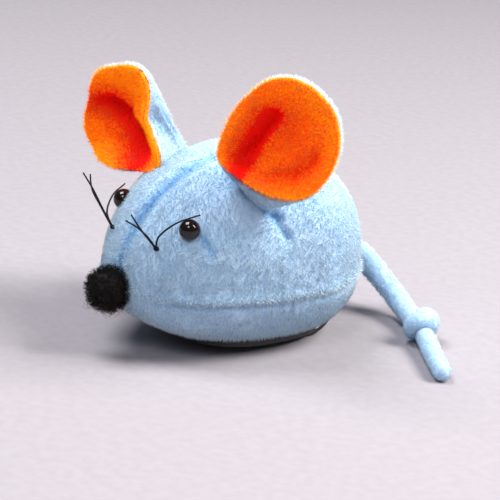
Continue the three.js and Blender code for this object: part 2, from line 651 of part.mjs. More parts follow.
function addBody() {
  const skin = bodySolid(0, ...SKIN_GRID);
  const shell = skin.subtract(bodySolid(FABRIC, ...SKIN_GRID));
  const far = 100;
  const above = [SEAM_Z + SEAM_HALF_GAP, far];
  const eyes = { left: eyeParts(1), right: eyeParts(-1) };

  let left = shell.intersect(solid(box(SEAM_HALF_GAP, far, -far, far, ...above)));
  left = left.subtract(eyes.left.panelCut);
  let right = shell.intersect(solid(box(-far, -SEAM_HALF_GAP, -far, far, ...above)));
  right = right.subtract(eyes.right.panelCut);
  const keyHole = rodX(EYELET.neck + GAP, -far, -EYELET.inside + 2, WINDING_ARBOR, 20);
  const flangeSeat = rodX(EYELET.flange + GAP, -far, EYELET.flangeThickness - EYELET.outside + GAP, WINDING_ARBOR, 20);
  right = right.subtract(solid(keyHole)).subtract(solid(flangeSeat));
  let belly = shell.intersect(solid(box(-far, far, -far, far, -far, SEAM_Z - SEAM_HALF_GAP)));
  belly = belly.subtract(solid(plateSlab(GAP, -1, 12)));
  for (const side of [1, -1]) belly = belly.subtract(solid(hoodOutside(side, GAP)));
  addPiece('left_side_panel', left, COLOURS.plush);
  addPiece('right_side_panel', right, COLOURS.plush);
  addPiece('belly_panel', belly, COLOURS.plush);

  const cuts = [
    box(-far, far, -far, far, -far, PLATE_TOP + GAP),
    box(-CASE_HALF_WIDTH - 1.7, CASE_HALF_WIDTH + 1.7, CASE_FRONT - 0.5, CASE_REAR + 0.5, 0, CASE_TOP + 0.5),
    box(-11.7, 11.7, -6.1, -1.1, 0, 8.1),
    box(-5.9, 5.9, CASE_REAR, 27.3, 0, 8.1),
    hoodOutside(1, 0.5),
    hoodOutside(-1, 0.5),
    rodX(EYELET.neck + GAP, -far, -CASE_HALF_WIDTH, WINDING_ARBOR, 20),
  ];
  let filling = bodySolid(FABRIC + GAP, 20, 14);
  filling = cuts.map(solid).reduce((rest, cut) => rest.subtract(cut), filling);
  filling = filling.subtract(eyes.left.fillingCut).subtract(eyes.right.fillingCut);
  addPiece('stuffing', filling, COLOURS.filling);

  for (const name of ['left', 'right']) {
    addPiece(`${name}_eye`, eyes[name].eye, COLOURS.bead);
    addPiece(`${name}_eye_washer`, eyes[name].washer, COLOURS.housing);
  }
  return skin;
}

function addNose() {
  const ball = new THREE.SphereGeometry(NOSE_RADIUS, 16, 11).translate(...NOSE_CENTRE);
  addPiece('nose_pompom', solid(ball).subtract(bodySolid(-GAP, ...SKIN_GRID)), COLOURS.black);
}

// ---- Ears ----
// A point of the ear: u and v span the unit disc, and offset is measured along the facing direction.
// A back layer runs down to the root of the ear around one spot.
function earPoint(ear, u, v, offset, isBack) {
  const up = new THREE.Vector3(...ear.up).normalize();
  const face = new THREE.Vector3(...ear.facing);
  face.addScaledVector(up, -face.dot(up)).normalize();
  const across = new THREE.Vector3().crossVectors(up, face);
  const place = (a, b) => {
    const low = THREE.MathUtils.smoothstep(-b, 0.3, 1);
    const depth = -EAR_CUP * (1 - a * a - b * b) + EAR_LIP * low;
    return new THREE.Vector3(...ear.centre)
      .addScaledVector(across, ear.width * a)
      .addScaledVector(up, ear.height * b * (1 - EAR_CURL * low))
      .addScaledVector(face, depth);
  };
  const point = place(u, v);
  if (isBack) {
    const { u: rootU, v: rootV, reach } = EAR_ROOT_SPOT;
    const near = Math.exp(-(((u - rootU) ** 2 + (v - rootV) ** 2) / reach ** 2));
    const share = near * THREE.MathUtils.smoothstep(1 - Math.hypot(u, v), 0, 0.3);
    const toRoot = new THREE.Vector3(...ear.root).sub(place(rootU, rootV));
    point.addScaledVector(toRoot, share);
  }
  return point.addScaledVector(face, offset);
}

// One layer of an ear: a thin lens with a round rim, bent to the ear's surface.
function earLayer(ear, offset, isBack) {
  const geometry = new THREE.SphereGeometry(1, 22, 14);
  geometry.rotateX(Math.PI / 2);
  const position = geometry.attributes.position;
  for (let i = 0; i < position.count; i++) {
    const [u, v, w] = [position.getX(i), position.getY(i), position.getZ(i)];
    const thin = Math.sign(w) * Math.sqrt(Math.max(0, 1 - Math.hypot(u, v) ** 6));
    position.setXYZ(i, ...earPoint(ear, u, v, offset + (EAR_LAYER / 2) * thin, isBack));
  }
  return solid(geometry);
}

function addEars() {
  const clearOfBody = bodySolid(-GAP, ...SKIN_GRID);
  for (const [name, ear] of Object.entries(EARS)) {
    const away = EAR_LAYER / 2 + GAP / 2;
    const back = earLayer(ear, -away, true).subtract(clearOfBody);
    const lining = earLayer(ear, away, false).subtract(clearOfBody);
    addPiece(`${name}_ear_back`, back, COLOURS.plush);
    addPiece(`${name}_ear_lining`, lining, COLOURS.orange);
  }
}

// ---- Cords and threads ----
// A closed tube along a curve, its radius running from start to end.
function tube(curve, startRadius, endRadius, sides, steps) {
  const section = new THREE.Shape();
  for (let i = 0; i < sides; i++) {
    const angle = (2 * Math.PI * i) / sides;
    const [x, y] = [Math.cos(angle), Math.sin(angle)];
    if (i === 0) section.moveTo(x, y);
    else section.lineTo(x, y);
  }
  section.closePath();
  const geometry = new THREE.ExtrudeGeometry(section, { steps, extrudePath: curve });
  const position = geometry.attributes.position;
  const samples = curve.getSpacedPoints(4 * steps);
  const point = new THREE.Vector3();
  for (let i = 0; i < position.count; i++) {
    point.fromBufferAttribute(position, i);
    const share = nearestShare(samples, point);
    const middle = curve.getPointAt(share);
    point.sub(middle).multiplyScalar(startRadius + (endRadius - startRadius) * share).add(middle);
    position.setXYZ(i, ...point);
  }
  return geometry;
}

function nearestShare(samples, point) {
  let best = 0;
  for (let i = 1; i < samples.length; i++) {
    if (samples[i].distanceToSquared(point) < samples[best].distanceToSquared(point)) best = i;
  }
  return best / (samples.length - 1);
}

function addTail() {
  const curve = new THREE.CatmullRomCurve3(TAIL_ROUTE.map((p) => new THREE.Vector3(...p)), false, 'centripetal');
  const body = tube(curve, TAIL_ROOT_RADIUS, TAIL_TIP_RADIUS, 8, TAIL_STEPS);
  const root = new THREE.SphereGeometry(TAIL_ROOT_RADIUS, 10, 6).translate(...TAIL_PIVOT);
  const tip = new THREE.SphereGeometry(TAIL_TIP_RADIUS, 8, 5).translate(...curve.getPointAt(1));
  const knotAt = curve.getPointAt(TAIL_KNOT_AT);
  const along = curve.getTangentAt(TAIL_KNOT_AT);
  const knot = new THREE.SphereGeometry(TAIL_KNOT_RADIUS, 12, 8).scale(1, 1, 0.85);
  knot.rotateZ(Math.atan2(along.y, along.x)).translate(knotAt.x, knotAt.y, TAIL_KNOT_RADIUS * 0.85 + 0.1);
  const floor = solid(box(-100, 100, -100, 100, 0.05, 100));
  addPiece('tail', unionOf([body, root, tip, knot]).intersect(floor), COLOURS.plush);
}

// Three thread ends that leave one knot on each side, as outward, lengthwise and upward offsets.
const WHISKER_STRANDS = {
  left: [
    [[0, 0, 0], [0.5, -2.8, 2.9], [0.8, -5.6, 6], [0.7, -7.8, 9.2]],
    [[0, 0, 0], [0.9, -3, 3.2], [1.3, -6.4, 6.2], [2.2, -10.2, 8.6]],
    [[0, 0, 0], [1.5, -0.6, 3.2], [3.5, 2.5, 6.5], [5.7, 7.5, 8.6]],
  ],
  right: [
    [[0, 0, 0], [0.3, -2.6, 4.6], [0.7, -5.2, 9.2], [1.2, -7.8, 13.6]],
    [[0, 0, 0], [1, -2.4, 4.4], [1.8, -4.6, 8.8], [1.9, -5.4, 12.8]],
    [[0, 0, 0], [1.6, -0.5, 3.1], [3.6, 2.4, 6.3], [5.6, 6.8, 8.1]],
  ],
};

function addWhiskers() {
  for (const [name, side] of [['left', 1], ['right', -1]]) {
    const { point, normal } = skinSpot(WHISKER_SPOT, side);
    const root = point.clone().addScaledVector(normal, WHISKER_KNOT_RADIUS + 0.15);
    const strands = WHISKER_STRANDS[name].map((offsets) => {
      const points = offsets.map(([x, y, z]) => new THREE.Vector3(side * x, y, z).add(root));
      return tube(new THREE.CatmullRomCurve3(points), THREAD_RADIUS, THREAD_RADIUS, 5, 6);
    });
    const knot = new THREE.SphereGeometry(WHISKER_KNOT_RADIUS, 8, 5).translate(...root);
    addPiece(`${name}_whiskers`, unionOf([knot, ...strands]), COLOURS.black);
  }
}

// ---- Assembly ----
const skin = addBody();
addNose();
addEars();
addWhiskers();
addTail();
addPiece('base_plate', makeBasePlate(skin), COLOURS.chassis);
addPiece('motor_case_left', makeCaseHalf(1), COLOURS.housing);
addPiece('motor_case_right', makeCaseHalf(-1), COLOURS.housing);
addGearTrain();
addRatchet();
addMainspring();
addWindingKey();
addEyelet();
addWheels();
addRoller();
addScrews();

export default mouse;
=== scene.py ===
"""Looks of the wind-up plush mouse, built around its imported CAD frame.

The mouse looks along -Y with +X on its left, and stands on z = 0. Shapes are worked out in millimetres
and turned into metres where a mesh is made.
"""
import json
import math

import bmesh
import bpy
import numpy as np
from mathutils import Matrix, Vector, noise

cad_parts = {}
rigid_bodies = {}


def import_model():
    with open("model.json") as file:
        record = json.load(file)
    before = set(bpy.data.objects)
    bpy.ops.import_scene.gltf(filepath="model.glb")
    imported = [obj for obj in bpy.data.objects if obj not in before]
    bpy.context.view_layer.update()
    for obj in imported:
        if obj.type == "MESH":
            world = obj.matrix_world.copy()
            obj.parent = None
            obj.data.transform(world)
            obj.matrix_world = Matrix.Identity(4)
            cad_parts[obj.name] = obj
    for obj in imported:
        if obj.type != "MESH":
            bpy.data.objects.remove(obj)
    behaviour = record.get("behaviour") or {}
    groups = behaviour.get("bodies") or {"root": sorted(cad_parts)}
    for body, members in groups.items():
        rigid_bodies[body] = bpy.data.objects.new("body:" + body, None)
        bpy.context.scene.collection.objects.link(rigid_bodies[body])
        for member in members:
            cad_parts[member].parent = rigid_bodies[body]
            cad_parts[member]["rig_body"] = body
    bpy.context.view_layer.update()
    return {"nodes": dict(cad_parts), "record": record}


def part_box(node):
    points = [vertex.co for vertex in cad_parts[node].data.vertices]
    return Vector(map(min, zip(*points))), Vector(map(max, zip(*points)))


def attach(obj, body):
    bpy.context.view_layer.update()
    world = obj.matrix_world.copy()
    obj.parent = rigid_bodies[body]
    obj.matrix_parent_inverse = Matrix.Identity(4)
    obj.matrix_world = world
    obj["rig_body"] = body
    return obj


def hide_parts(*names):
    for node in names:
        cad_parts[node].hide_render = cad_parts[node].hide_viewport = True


MM = 0.001

# ---- Body ----
BODY_FRONT = -29.2
BODY_REAR = 37.1
BODY_HALF_WIDTH = 25.6
BODY_TOP = 45.9
BODY_BOTTOM = 0.8
WIDEST_AT = 0.595
CORE_NOSE_Z = 16.3
CORE_MIDDLE_Z = 24.2
CORE_TAIL_Z = 15.9
UPPER_SQUARENESS = 2.24
LOWER_SQUARENESS = 2.6
SEAM_Z = 15.4
BODY_MIDDLE = (0, 4, 20)
FABRIC = 1.2
SIDE_GRID = (200, 130)  # rows from nose to tail, columns from belly seam to top seam
BELLY_GRID = (170, 110)
# Sewn darts and pulled-in spots of the left side: start, end, depth and radius
DARTS = [
    ((20.1, -2.9, 36.6), (23.8, 0.5, 31.2), 0.8, 1.1),
    ((20.9, -1.4, 36.2), (21.4, -0.8, 35.4), 1.1, 1.2),
    ((15.8, -17.4, 31.1), (17.9, -16.5, 28.3), 0.45, 1.3),
]
PLATE = {"centre_y": 7.6, "half_length": 19.4, "half_width": 16.1, "power": 2.5}
HOOD = {"inner": 7.3, "outer": 14.6, "y": 19.0, "radius": 9.2}
WINDOW_GAP = 0.3
WINDOW_TOP = 12.0
KEY_HOLE_RADIUS = 2.9
KEY_HOLE_REACH = 6.0  # how far beyond the eyelet's outer face the hole is cut, and half its length

# ---- Face ----
NOSE_RADIUS = 5.3
NOSE_CENTRE = (0.0, -31.8, 16.3)
NOSE_FIBRES = {"count": 2600, "reach": 2.0, "width": 0.13, "curl": 0.35, "seed": 4, "share_brown": 0.06}
STRAY_FIBRES = {"count": 46, "reach": 3.3, "width": 0.09, "curl": 0.5, "seed": 5, "share_brown": 0.7}
EYE_RADIUS = 2.45
EYE_PROUD = {"left": 0.9, "right": 0.2}  # how far the middle of each bead stands off the fabric
EYE_SPOT = (-19.3, 32.3)
EYE_SHANK = [(0.35, -4.6), (0.7, -4.4), (0.7, -2.2), (0.95, -1.9)]  # radius and height
WHISKER_SPOT = (-25.0, 27.5)
THREAD_RADIUS = 0.24
THREAD_SIDES = 10
WHISKER_STRANDS = {
    "left": [
        [(0, 0, 0), (0.5, -2.8, 2.9), (0.8, -5.6, 6), (0.7, -7.8, 9.2)],
        [(0, 0, 0), (0.9, -3, 3.2), (1.3, -6.4, 6.2), (2.2, -10.2, 8.6)],
        [(0, 0, 0), (1.5, -0.6, 3.2), (3.5, 2.5, 6.5), (5.7, 7.5, 8.6)],
    ],
    "right": [
        [(0, 0, 0), (0.3, -2.6, 4.6), (0.7, -5.2, 9.2), (1.2, -7.8, 13.6)],
        [(0, 0, 0), (1, -2.4, 4.4), (1.8, -4.6, 8.8), (1.9, -5.4, 12.8)],
        [(0, 0, 0), (1.6, -0.5, 3.1), (3.6, 2.4, 6.3), (5.6, 6.8, 8.1)],
    ],
}

# ---- Ears ----
# Folds are lines on the unit disc of the ear, u across and v up: points, depth and half width.
# Lobes change the outline: angle round the disc in degrees, share of its size and width in degrees.
# The back runs down to the root, a line sewn into the head, round a spot with its own reach.
EARS = {
    "left": {
        "centre": (26.5, -5.65, 55.3),
        "up": (0.4, 0.05, 0.915),
        "facing": (0.55, -0.8, 0.15),
        "width": 12.9,
        "height": 15.3,
        "root": ((10.0, -4.0, 42.5), (20.5, -3.4, 35.6)),
        "root_spot": (0.0, -0.72, 0.5),
        "curl": 0.25,
        "pouch": 3.6,
        "lobes": [(-135, 0.2, 24), (156, -0.06, 25), (40, 0.04, 30)],
        "folds": [
            ([(-0.42, -0.95), (-0.5, -0.68), (-0.52, -0.36), (-0.42, 0.1)], 4.8, 0.15),
            ([(-0.37, -0.95), (0.0, -0.82), (0.42, -0.5), (0.6, -0.27), (0.66, -0.05)], 1.6, 0.11),
        ],
        "roll": (-0.8, -0.2, 2.0),
    },
    "right": {
        "centre": (-23.9, -14.9, 49.0),
        "up": (-0.326, -0.282, 0.881),
        "facing": (0.08, -0.965, 0.165),
        "width": 13.3,
        "height": 13.2,
        "root": ((-20.5, -4.0, 35.0), (-8.5, -1.5, 43.5)),
        "root_spot": (0.35, -0.3, 0.72),
        "curl": 0.12,
        "pouch": 2.6,
        "lobes": [(34, 0.26, 20), (138, -0.34, 48), (-14, -0.30, 26), (-56, 0.34, 18), (-120, -0.08, 25)],
        "folds": [
            ([(-0.33, 0.31), (-0.2, 0.0), (-0.05, -0.3), (0.1, -0.64), (0.26, -0.95)], 5.0, 0.17),
        ],
        "roll": (0.5, 0.1, 1.2),
    },
}
EAR_CUP = 6.2
EAR_LIP = 3.6
EAR_LAYER = 1.6
EAR_GRID = (60, 160)

# ---- Tail ----
TAIL_ROUTE = [
    (0, 40, 15.9),
    (1.6, 43.2, 14),
    (5, 46, 9.8),
    (11, 47.2, 5.6),
    (19, 45.3, 3.2),
    (28, 41, 3.6),
    (36, 36.4, 2.6),
    (44, 31.6, 2.1),
    (51, 27.4, 2),
]
TAIL_ROOT_RADIUS = 2.8
TAIL_TIP_RADIUS = 1.9
TAIL_KNOT_AT = 0.58
TAIL_RINGS = 150
TAIL_SIDES = 26
KNOT_WRAPS = 1.35
KNOT_REACH = 2.5
KNOT_LENGTH = 3.4
KNOT_LIFT = 0.9
KNOT_RADIUS = 2.1
KNOT_RINGS = 90
KNOT_SIDES = 22
FLOOR_GAP = 0.12

# ---- Pile ----
# Fibres per square millimetre, their length and width, how far they lie over, and how much that varies
PILE = {
    "body": {"per_mm2": 11, "length": 0.95, "width": 0.17, "lean": 1.1},
    "gathered": {"per_mm2": 7, "length": 1.5, "width": 0.17, "lean": 0.55, "jitter": 0.5},
    "seam": {"per_mm2": 7, "length": 1.0, "width": 0.17, "lean": 0.3, "jitter": 0.5},
    "ear_lining": {"per_mm2": 20, "length": 1.0, "width": 0.15, "lean": 0.9},
    "ear_back": {"per_mm2": 13, "length": 0.95, "width": 0.16, "lean": 0.9},
    "tail": {"per_mm2": 13, "length": 0.75, "width": 0.15, "lean": 1.3},
}
SPIKE_CORNERS = np.array([(0, 1, 3), (1, 2, 3), (2, 0, 3), (2, 1, 0)])

# ---- Camera and stage ----
CAMERA_TARGET = (0.0, 3.95, 0.0)
CAMERA_AZIMUTH = 51.0
CAMERA_ELEVATION = 18.1
CAMERA_ROLL = 4.2
CAMERA_DISTANCE = 524.0
CAMERA_SIDE = 5.31
CAMERA_RISE = 19.34
CAMERA_LENS = 156.8
FLOOR_HALF = 3000.0
FLOOR_TONES = [(0.3, (0.32, 0.295, 0.32)), (0.7, (0.345, 0.32, 0.345))]
# Square area lights, in metres: place, side, power and colour
LIGHTS = {
    "window_right": ((0.42, 0.42, 0.62), 0.4, 13.0, (1.0, 0.97, 0.94)),
    "ceiling": ((-0.22, -0.22, 0.80), 0.4, 7.5, (0.95, 0.97, 1.0)),
    "front_fill": ((0.40, -0.60, 0.78), 0.3, 3.0, (1.0, 0.97, 0.96)),
}
LIGHT_TARGET = (0, 0.004, 0.03)
SKY_COLOUR = (0.80, 0.80, 0.90, 1)
SKY_STRENGTH = 0.2


# ---- Small helpers ----
def unit(vectors):
    vectors = np.asarray(vectors, float)
    return vectors / np.maximum(np.linalg.norm(vectors, axis=-1, keepdims=True), 1e-12)


def linked(name, data):
    """A new object in the scene."""
    obj = bpy.data.objects.new(name, data)
    bpy.context.scene.collection.objects.link(obj)
    return obj


def add_mesh(name, points, faces, material=None, smooth=True):
    """A mesh object from points in millimetres."""
    mesh = bpy.data.meshes.new(name)
    mesh.from_pydata((np.asarray(points, float) * MM).tolist(), [], [tuple(map(int, f)) for f in faces])
    mesh.validate()
    mesh.update()
    obj = linked(name, mesh)
    if smooth:
        mesh.shade_smooth()
    if material:
        mesh.materials.append(material)
    return obj


def applied(obj):
    """The object with its modifiers made part of the mesh."""
    bpy.context.view_layer.update()
    graph = bpy.context.evaluated_depsgraph_get()
    mesh = bpy.data.meshes.new_from_object(obj.evaluated_get(graph))
    obj.modifiers.clear()
    obj.data = mesh
    return obj


def roughly(points, scale, seed=0.0):
    """Smooth noise from -1 to 1 at each point, its features about 1 / scale millimetres across."""
    shifted = np.asarray(points, float) * scale + seed
    return np.array([noise.noise(Vector(p)) for p in shifted])


def distance_to_line(points, line):
    """The distance from each point to a line of several points."""
    points = np.asarray(points, float)
    nearest = np.full(len(points), np.inf)
    for start, end in zip(line[:-1], line[1:]):
        start, end = np.array(start, float), np.array(end, float)
        along = end - start
        share = np.clip((points - start) @ along / (along @ along), 0, 1)
        nearest = np.minimum(nearest, np.linalg.norm(points - start - share[:, None] * along, axis=1))
    return nearest


def smoothstep(x, low, high):
    t = np.clip((np.asarray(x, float) - low) / (high - low), 0, 1)
    return t * t * (3 - 2 * t)


def bell(distance, radius):
    return np.exp(-((distance / radius) ** 2))


def grid_faces(rows, columns, closed=False):
    faces = []
    last = columns if closed else columns - 1
    for i in range(rows - 1):
        for j in range(last):
            k = (j + 1) % columns
            faces.append((i * columns + j, i * columns + k, (i + 1) * columns + k, (i + 1) * columns + j))
    return faces


def capped_faces(rows, columns):
    """Faces of closed rings whose two end points come after the rings."""
    faces = grid_faces(rows, columns, closed=True)
    last, start, end = (rows - 1) * columns, rows * columns, rows * columns + 1
    for j in range(columns):
        k = (j + 1) % columns
        faces += [(k, j, start), (last + j, last + k, end)]
    return faces


def grid_normals(grid):
    """Unit normals of a grid of points, as the cross of its two directions."""
    return unit(np.cross(np.gradient(grid, axis=0), np.gradient(grid, axis=1)))


def route(points, count):
    """Points spaced evenly along a centripetal Catmull-Rom curve, and its length."""
    p = [np.array(q, float) for q in points]
    p = [2 * p[0] - p[1], *p, 2 * p[-1] - p[-2]]
    dense = []
    for a, b, c, d in zip(p[:-3], p[1:-2], p[2:-1], p[3:]):
        knots = np.cumsum([0.0] + [math.sqrt(np.linalg.norm(y - x)) for x, y in ((a, b), (b, c), (c, d))])
        t0, t1, t2, t3 = knots
        for t in np.linspace(t1, t2, 40, endpoint=False):
            a1 = (t1 - t) / (t1 - t0) * a + (t - t0) / (t1 - t0) * b
            a2 = (t2 - t) / (t2 - t1) * b + (t - t1) / (t2 - t1) * c
            a3 = (t3 - t) / (t3 - t2) * c + (t - t2) / (t3 - t2) * d
            b1 = (t2 - t) / (t2 - t0) * a1 + (t - t0) / (t2 - t0) * a2
            b2 = (t3 - t) / (t3 - t1) * a2 + (t - t1) / (t3 - t1) * a3
            dense.append((t2 - t) / (t2 - t1) * b1 + (t - t1) / (t2 - t1) * b2)
    dense.append(p[-2])
    dense = np.array(dense)
    length = np.concatenate([[0], np.cumsum(np.linalg.norm(np.diff(dense, axis=0), axis=1))])
    at = np.linspace(0, length[-1], count)
    return np.stack([np.interp(at, length, dense[:, k]) for k in range(3)], axis=1), length[-1]


def frames_along(line):
    """Two unit vectors across the line at each point, turning as little as they can."""
    tangents = unit(np.gradient(line, axis=0))
    first = np.cross(tangents[0], (0.0, 0.0, 1.0))
    if np.linalg.norm(first) < 0.1:
        first = np.cross(tangents[0], (0.0, 1.0, 0.0))
    across = [unit(first)]
    for tangent in tangents[1:]:
        across.append(unit(across[-1] - tangent * (across[-1] @ tangent)))
    across = np.array(across)
    return across, np.cross(tangents, across)


def tube_points(line, radii, sides):
    """Rings round a line, and a point at each end: points and faces of a closed tube."""
    across, over = frames_along(line)
    angles = np.linspace(0, 2 * math.pi, sides, endpoint=False)
    circle = np.cos(angles)[None, :, None] * across[:, None, :]
    circle = circle + np.sin(angles)[None, :, None] * over[:, None, :]
    rings = line[:, None, :] + circle * np.asarray(radii)[:, None, None]
    points = np.vstack([rings.reshape(-1, 3), line[0], line[-1]])
    return points, capped_faces(len(line), sides)


# ---- Materials ----
class Nodes:
    """One node material with a Principled shader, and short ways to add nodes to it."""

    def __init__(self, name, roughness=0.8, **sockets):
        self.material = bpy.data.materials.new(name)
        self.material.use_nodes = True
        self.tree = self.material.node_tree
        self.shader = self.tree.nodes["Principled BSDF"]
        self.place = self.add("ShaderNodeTexCoord").outputs["Object"]
        self.shader.inputs["Roughness"].default_value = roughness
        for socket, value in sockets.items():
            self.shader.inputs[socket.replace("_", " ").title()].default_value = value

    def add(self, kind, **values):
        node = self.tree.nodes.new(kind)
        for key, value in values.items():
            if key in node.inputs:
                node.inputs[key].default_value = value
            else:
                setattr(node, key, value)
        return node

    def link(self, out, into):
        self.tree.links.new(out, into)

    def stretched(self, scale):
        mapping = self.add("ShaderNodeMapping")
        mapping.inputs["Scale"].default_value = scale
        self.link(self.place, mapping.inputs["Vector"])
        return mapping.outputs["Vector"]

    def noise(self, scale, detail=3.0, stretch=(1.0, 1.0, 1.0)):
        node = self.add("ShaderNodeTexNoise")
        node.inputs["Scale"].default_value = scale
        node.inputs["Detail"].default_value = detail
        self.link(self.stretched(stretch), node.inputs["Vector"])
        return node.outputs["Fac"]

    def ramp(self, factor, stops):
        node = self.add("ShaderNodeValToRGB")
        ramp = node.color_ramp
        while len(ramp.elements) < len(stops):
            ramp.elements.new(0.5)
        for element, (position, colour) in zip(ramp.elements, stops):
            element.position = position
            element.color = (*colour, 1.0)
        self.link(factor, node.inputs["Fac"])
        return node.outputs["Color"]

    def mix(self, factor, first, second, blend="MIX"):
        node = self.add("ShaderNodeMix", data_type="RGBA", blend_type=blend)
        for socket, value in (("Factor", factor), ("A", first), ("B", second)):
            fitting = [s for s in node.inputs if s.name == socket and s.enabled]
            into = [s for s in fitting if s.type in ("RGBA", "VALUE")][0]
            if isinstance(value, (int, float)):
                into.default_value = value
            elif isinstance(value, tuple):
                into.default_value = (*value, 1.0)
            else:
                self.link(value, into)
        return [s for s in node.outputs if s.enabled][0]

    def range(self, value, low, high, to_low, to_high):
        node = self.add("ShaderNodeMapRange")
        limits = {"From Min": low, "From Max": high, "To Min": to_low, "To Max": to_high}
        for socket, number in limits.items():
            node.inputs[socket].default_value = number
        self.link(value, node.inputs["Value"])
        return node.outputs["Result"]

    def attribute(self, name):
        node = self.add("ShaderNodeAttribute")
        node.attribute_name = name
        return node.outputs["Fac"]

    def bump(self, height, strength, distance):
        node = self.add("ShaderNodeBump")
        node.inputs["Strength"].default_value = strength
        node.inputs["Distance"].default_value = distance
        self.link(height, node.inputs["Height"])
        self.link(node.outputs["Normal"], self.shader.inputs["Normal"])

    def colour(self, out):
        self.link(out, self.shader.inputs["Base Color"])

    def rough(self, out):
        self.link(out, self.shader.inputs["Roughness"])


def plush_skin(name, light, middle, deep):
    """The ground of a short pile: streaks of nap, and painted shade (the deep colour) in the seams, darts
    and folds where the mesh is pulled in.
    """
    nodes = Nodes(name, roughness=0.95)
    nodes.shader.inputs["Sheen Weight"].default_value = 0.2
    nodes.shader.inputs["Sheen Roughness"].default_value = 0.45
    streaks = nodes.noise(900, 4.0, (1.0, 1.0, 0.3))
    patches = nodes.noise(120, 3.0)
    tone = nodes.ramp(nodes.mix(0.4, streaks, patches), [(0.3, middle), (0.68, light)])
    # Painted shade: the deep colour is mixed in by each point's crease share
    crease_shade = nodes.attribute("painted_crease_shade")
    nodes.colour(nodes.mix(crease_shade, tone, deep))
    nodes.bump(streaks, 0.5, 0.0004)
    return nodes.material


def pile_tone(name, colour, sheen, painted_glow=0.0):
    """One tone of the pile's fibres. Its emission, in the fibre's own colour, is painted light: it makes
    the fibre shine brighter than the lamps make it.
    """
    nodes = Nodes(name, roughness=0.85)
    nodes.tree.nodes.remove(nodes.place.node)
    nodes.shader.inputs["Base Color"].default_value = (*colour, 1.0)
    nodes.shader.inputs["Specular IOR Level"].default_value = 0.15
    nodes.shader.inputs["Sheen Weight"].default_value = sheen
    nodes.shader.inputs["Sheen Roughness"].default_value = 0.5
    nodes.shader.inputs["Emission Color"].default_value = (*colour, 1.0)
    nodes.shader.inputs["Emission Strength"].default_value = painted_glow
    return nodes.material


def moulded(name, colour, roughness, speck=0.06, coat=0.0):
    """Moulded plastic: a fine texture, a little unevenness in its colour and gloss."""
    nodes = Nodes(name, roughness=roughness)
    nodes.shader.inputs["Coat Weight"].default_value = coat
    fine = nodes.noise(2600, 3.0)
    broad = nodes.noise(90, 2.0)
    darker = tuple(c * (1 - 2 * speck) for c in colour)
    nodes.colour(nodes.ramp(broad, [(0.35, darker), (0.65, colour)]))
    nodes.rough(nodes.range(fine, 0.3, 0.7, roughness * 0.85, roughness * 1.2))
    nodes.bump(fine, 0.12, 0.0001)
    return nodes.material


def metal(name, colour):
    """Zinc-plated steel with fine drawn lines."""
    nodes = Nodes(name, roughness=0.3, metallic=1.0)
    lines = nodes.noise(1500, 4.0, (0.08, 1.0, 1.0))
    nodes.colour(nodes.ramp(lines, [(0.3, tuple(c * 0.72 for c in colour)), (0.7, colour)]))
    nodes.rough(nodes.range(lines, 0.3, 0.7, 0.22, 0.42))
    nodes.bump(lines, 0.1, 0.00005)
    return nodes.material


def rubber(name):
    nodes = Nodes(name, roughness=0.8)
    fine = nodes.noise(1800, 4.0)
    nodes.colour(nodes.ramp(fine, [(0.3, (0.010, 0.010, 0.011)), (0.7, (0.030, 0.030, 0.032))]))
    nodes.rough(nodes.range(fine, 0.3, 0.7, 0.65, 0.9))
    nodes.bump(fine, 0.3, 0.0001)
    return nodes.material


def glossy_bead(name):
    """Polished brown-black bead under a clear coat."""
    nodes = Nodes(name, roughness=0.12)
    nodes.shader.inputs["Coat Weight"].default_value = 0.2
    nodes.shader.inputs["Specular IOR Level"].default_value = 0.35
    nodes.shader.inputs["Coat Roughness"].default_value = 0.03
    swirl = nodes.noise(260, 3.0)
    nodes.colour(nodes.ramp(swirl, [(0.3, (0.004, 0.002, 0.002)), (0.75, (0.016, 0.006, 0.004))]))
    nodes.rough(nodes.range(swirl, 0.3, 0.7, 0.08, 0.18))
    return nodes.material


def thread(name, colour, twist=5000.0):
    nodes = Nodes(name, roughness=0.55)
    nodes.shader.inputs["Specular IOR Level"].default_value = 0.25
    lay = nodes.noise(twist, 2.0, (1.0, 0.4, 0.4))
    nodes.colour(nodes.ramp(lay, [(0.3, tuple(c * 0.5 for c in colour)), (0.7, colour)]))
    nodes.bump(lay, 0.4, 0.0001)
    return nodes.material


def filling(name):
    nodes = Nodes(name, roughness=1.0)
    nodes.shader.inputs["Sheen Weight"].default_value = 0.4
    fibres = nodes.noise(700, 6.0, (1.0, 0.35, 1.0))
    nodes.colour(nodes.ramp(fibres, [(0.3, (0.72, 0.71, 0.68)), (0.7, (0.93, 0.92, 0.90))]))
    nodes.bump(fibres, 0.8, 0.0006)
    return nodes.material


BLUE_LIGHT = (0.52, 0.70, 0.90)
BLUE_MIDDLE = (0.36, 0.58, 0.83)
# The deep colours are painted shade for creases, seams and folds
BLUE_PAINTED_SHADE = (0.08, 0.33, 0.68)
ORANGE_LIGHT = (1.0, 0.30, 0.003)
ORANGE_MIDDLE = (1.0, 0.12, 0.002)
ORANGE_PAINTED_SHADE = (0.62, 0.006, 0.001)
# Painted light: emission that makes the ear linings' fibres shine beyond the lamps
ORANGE_PAINTED_GLOW = 0.4


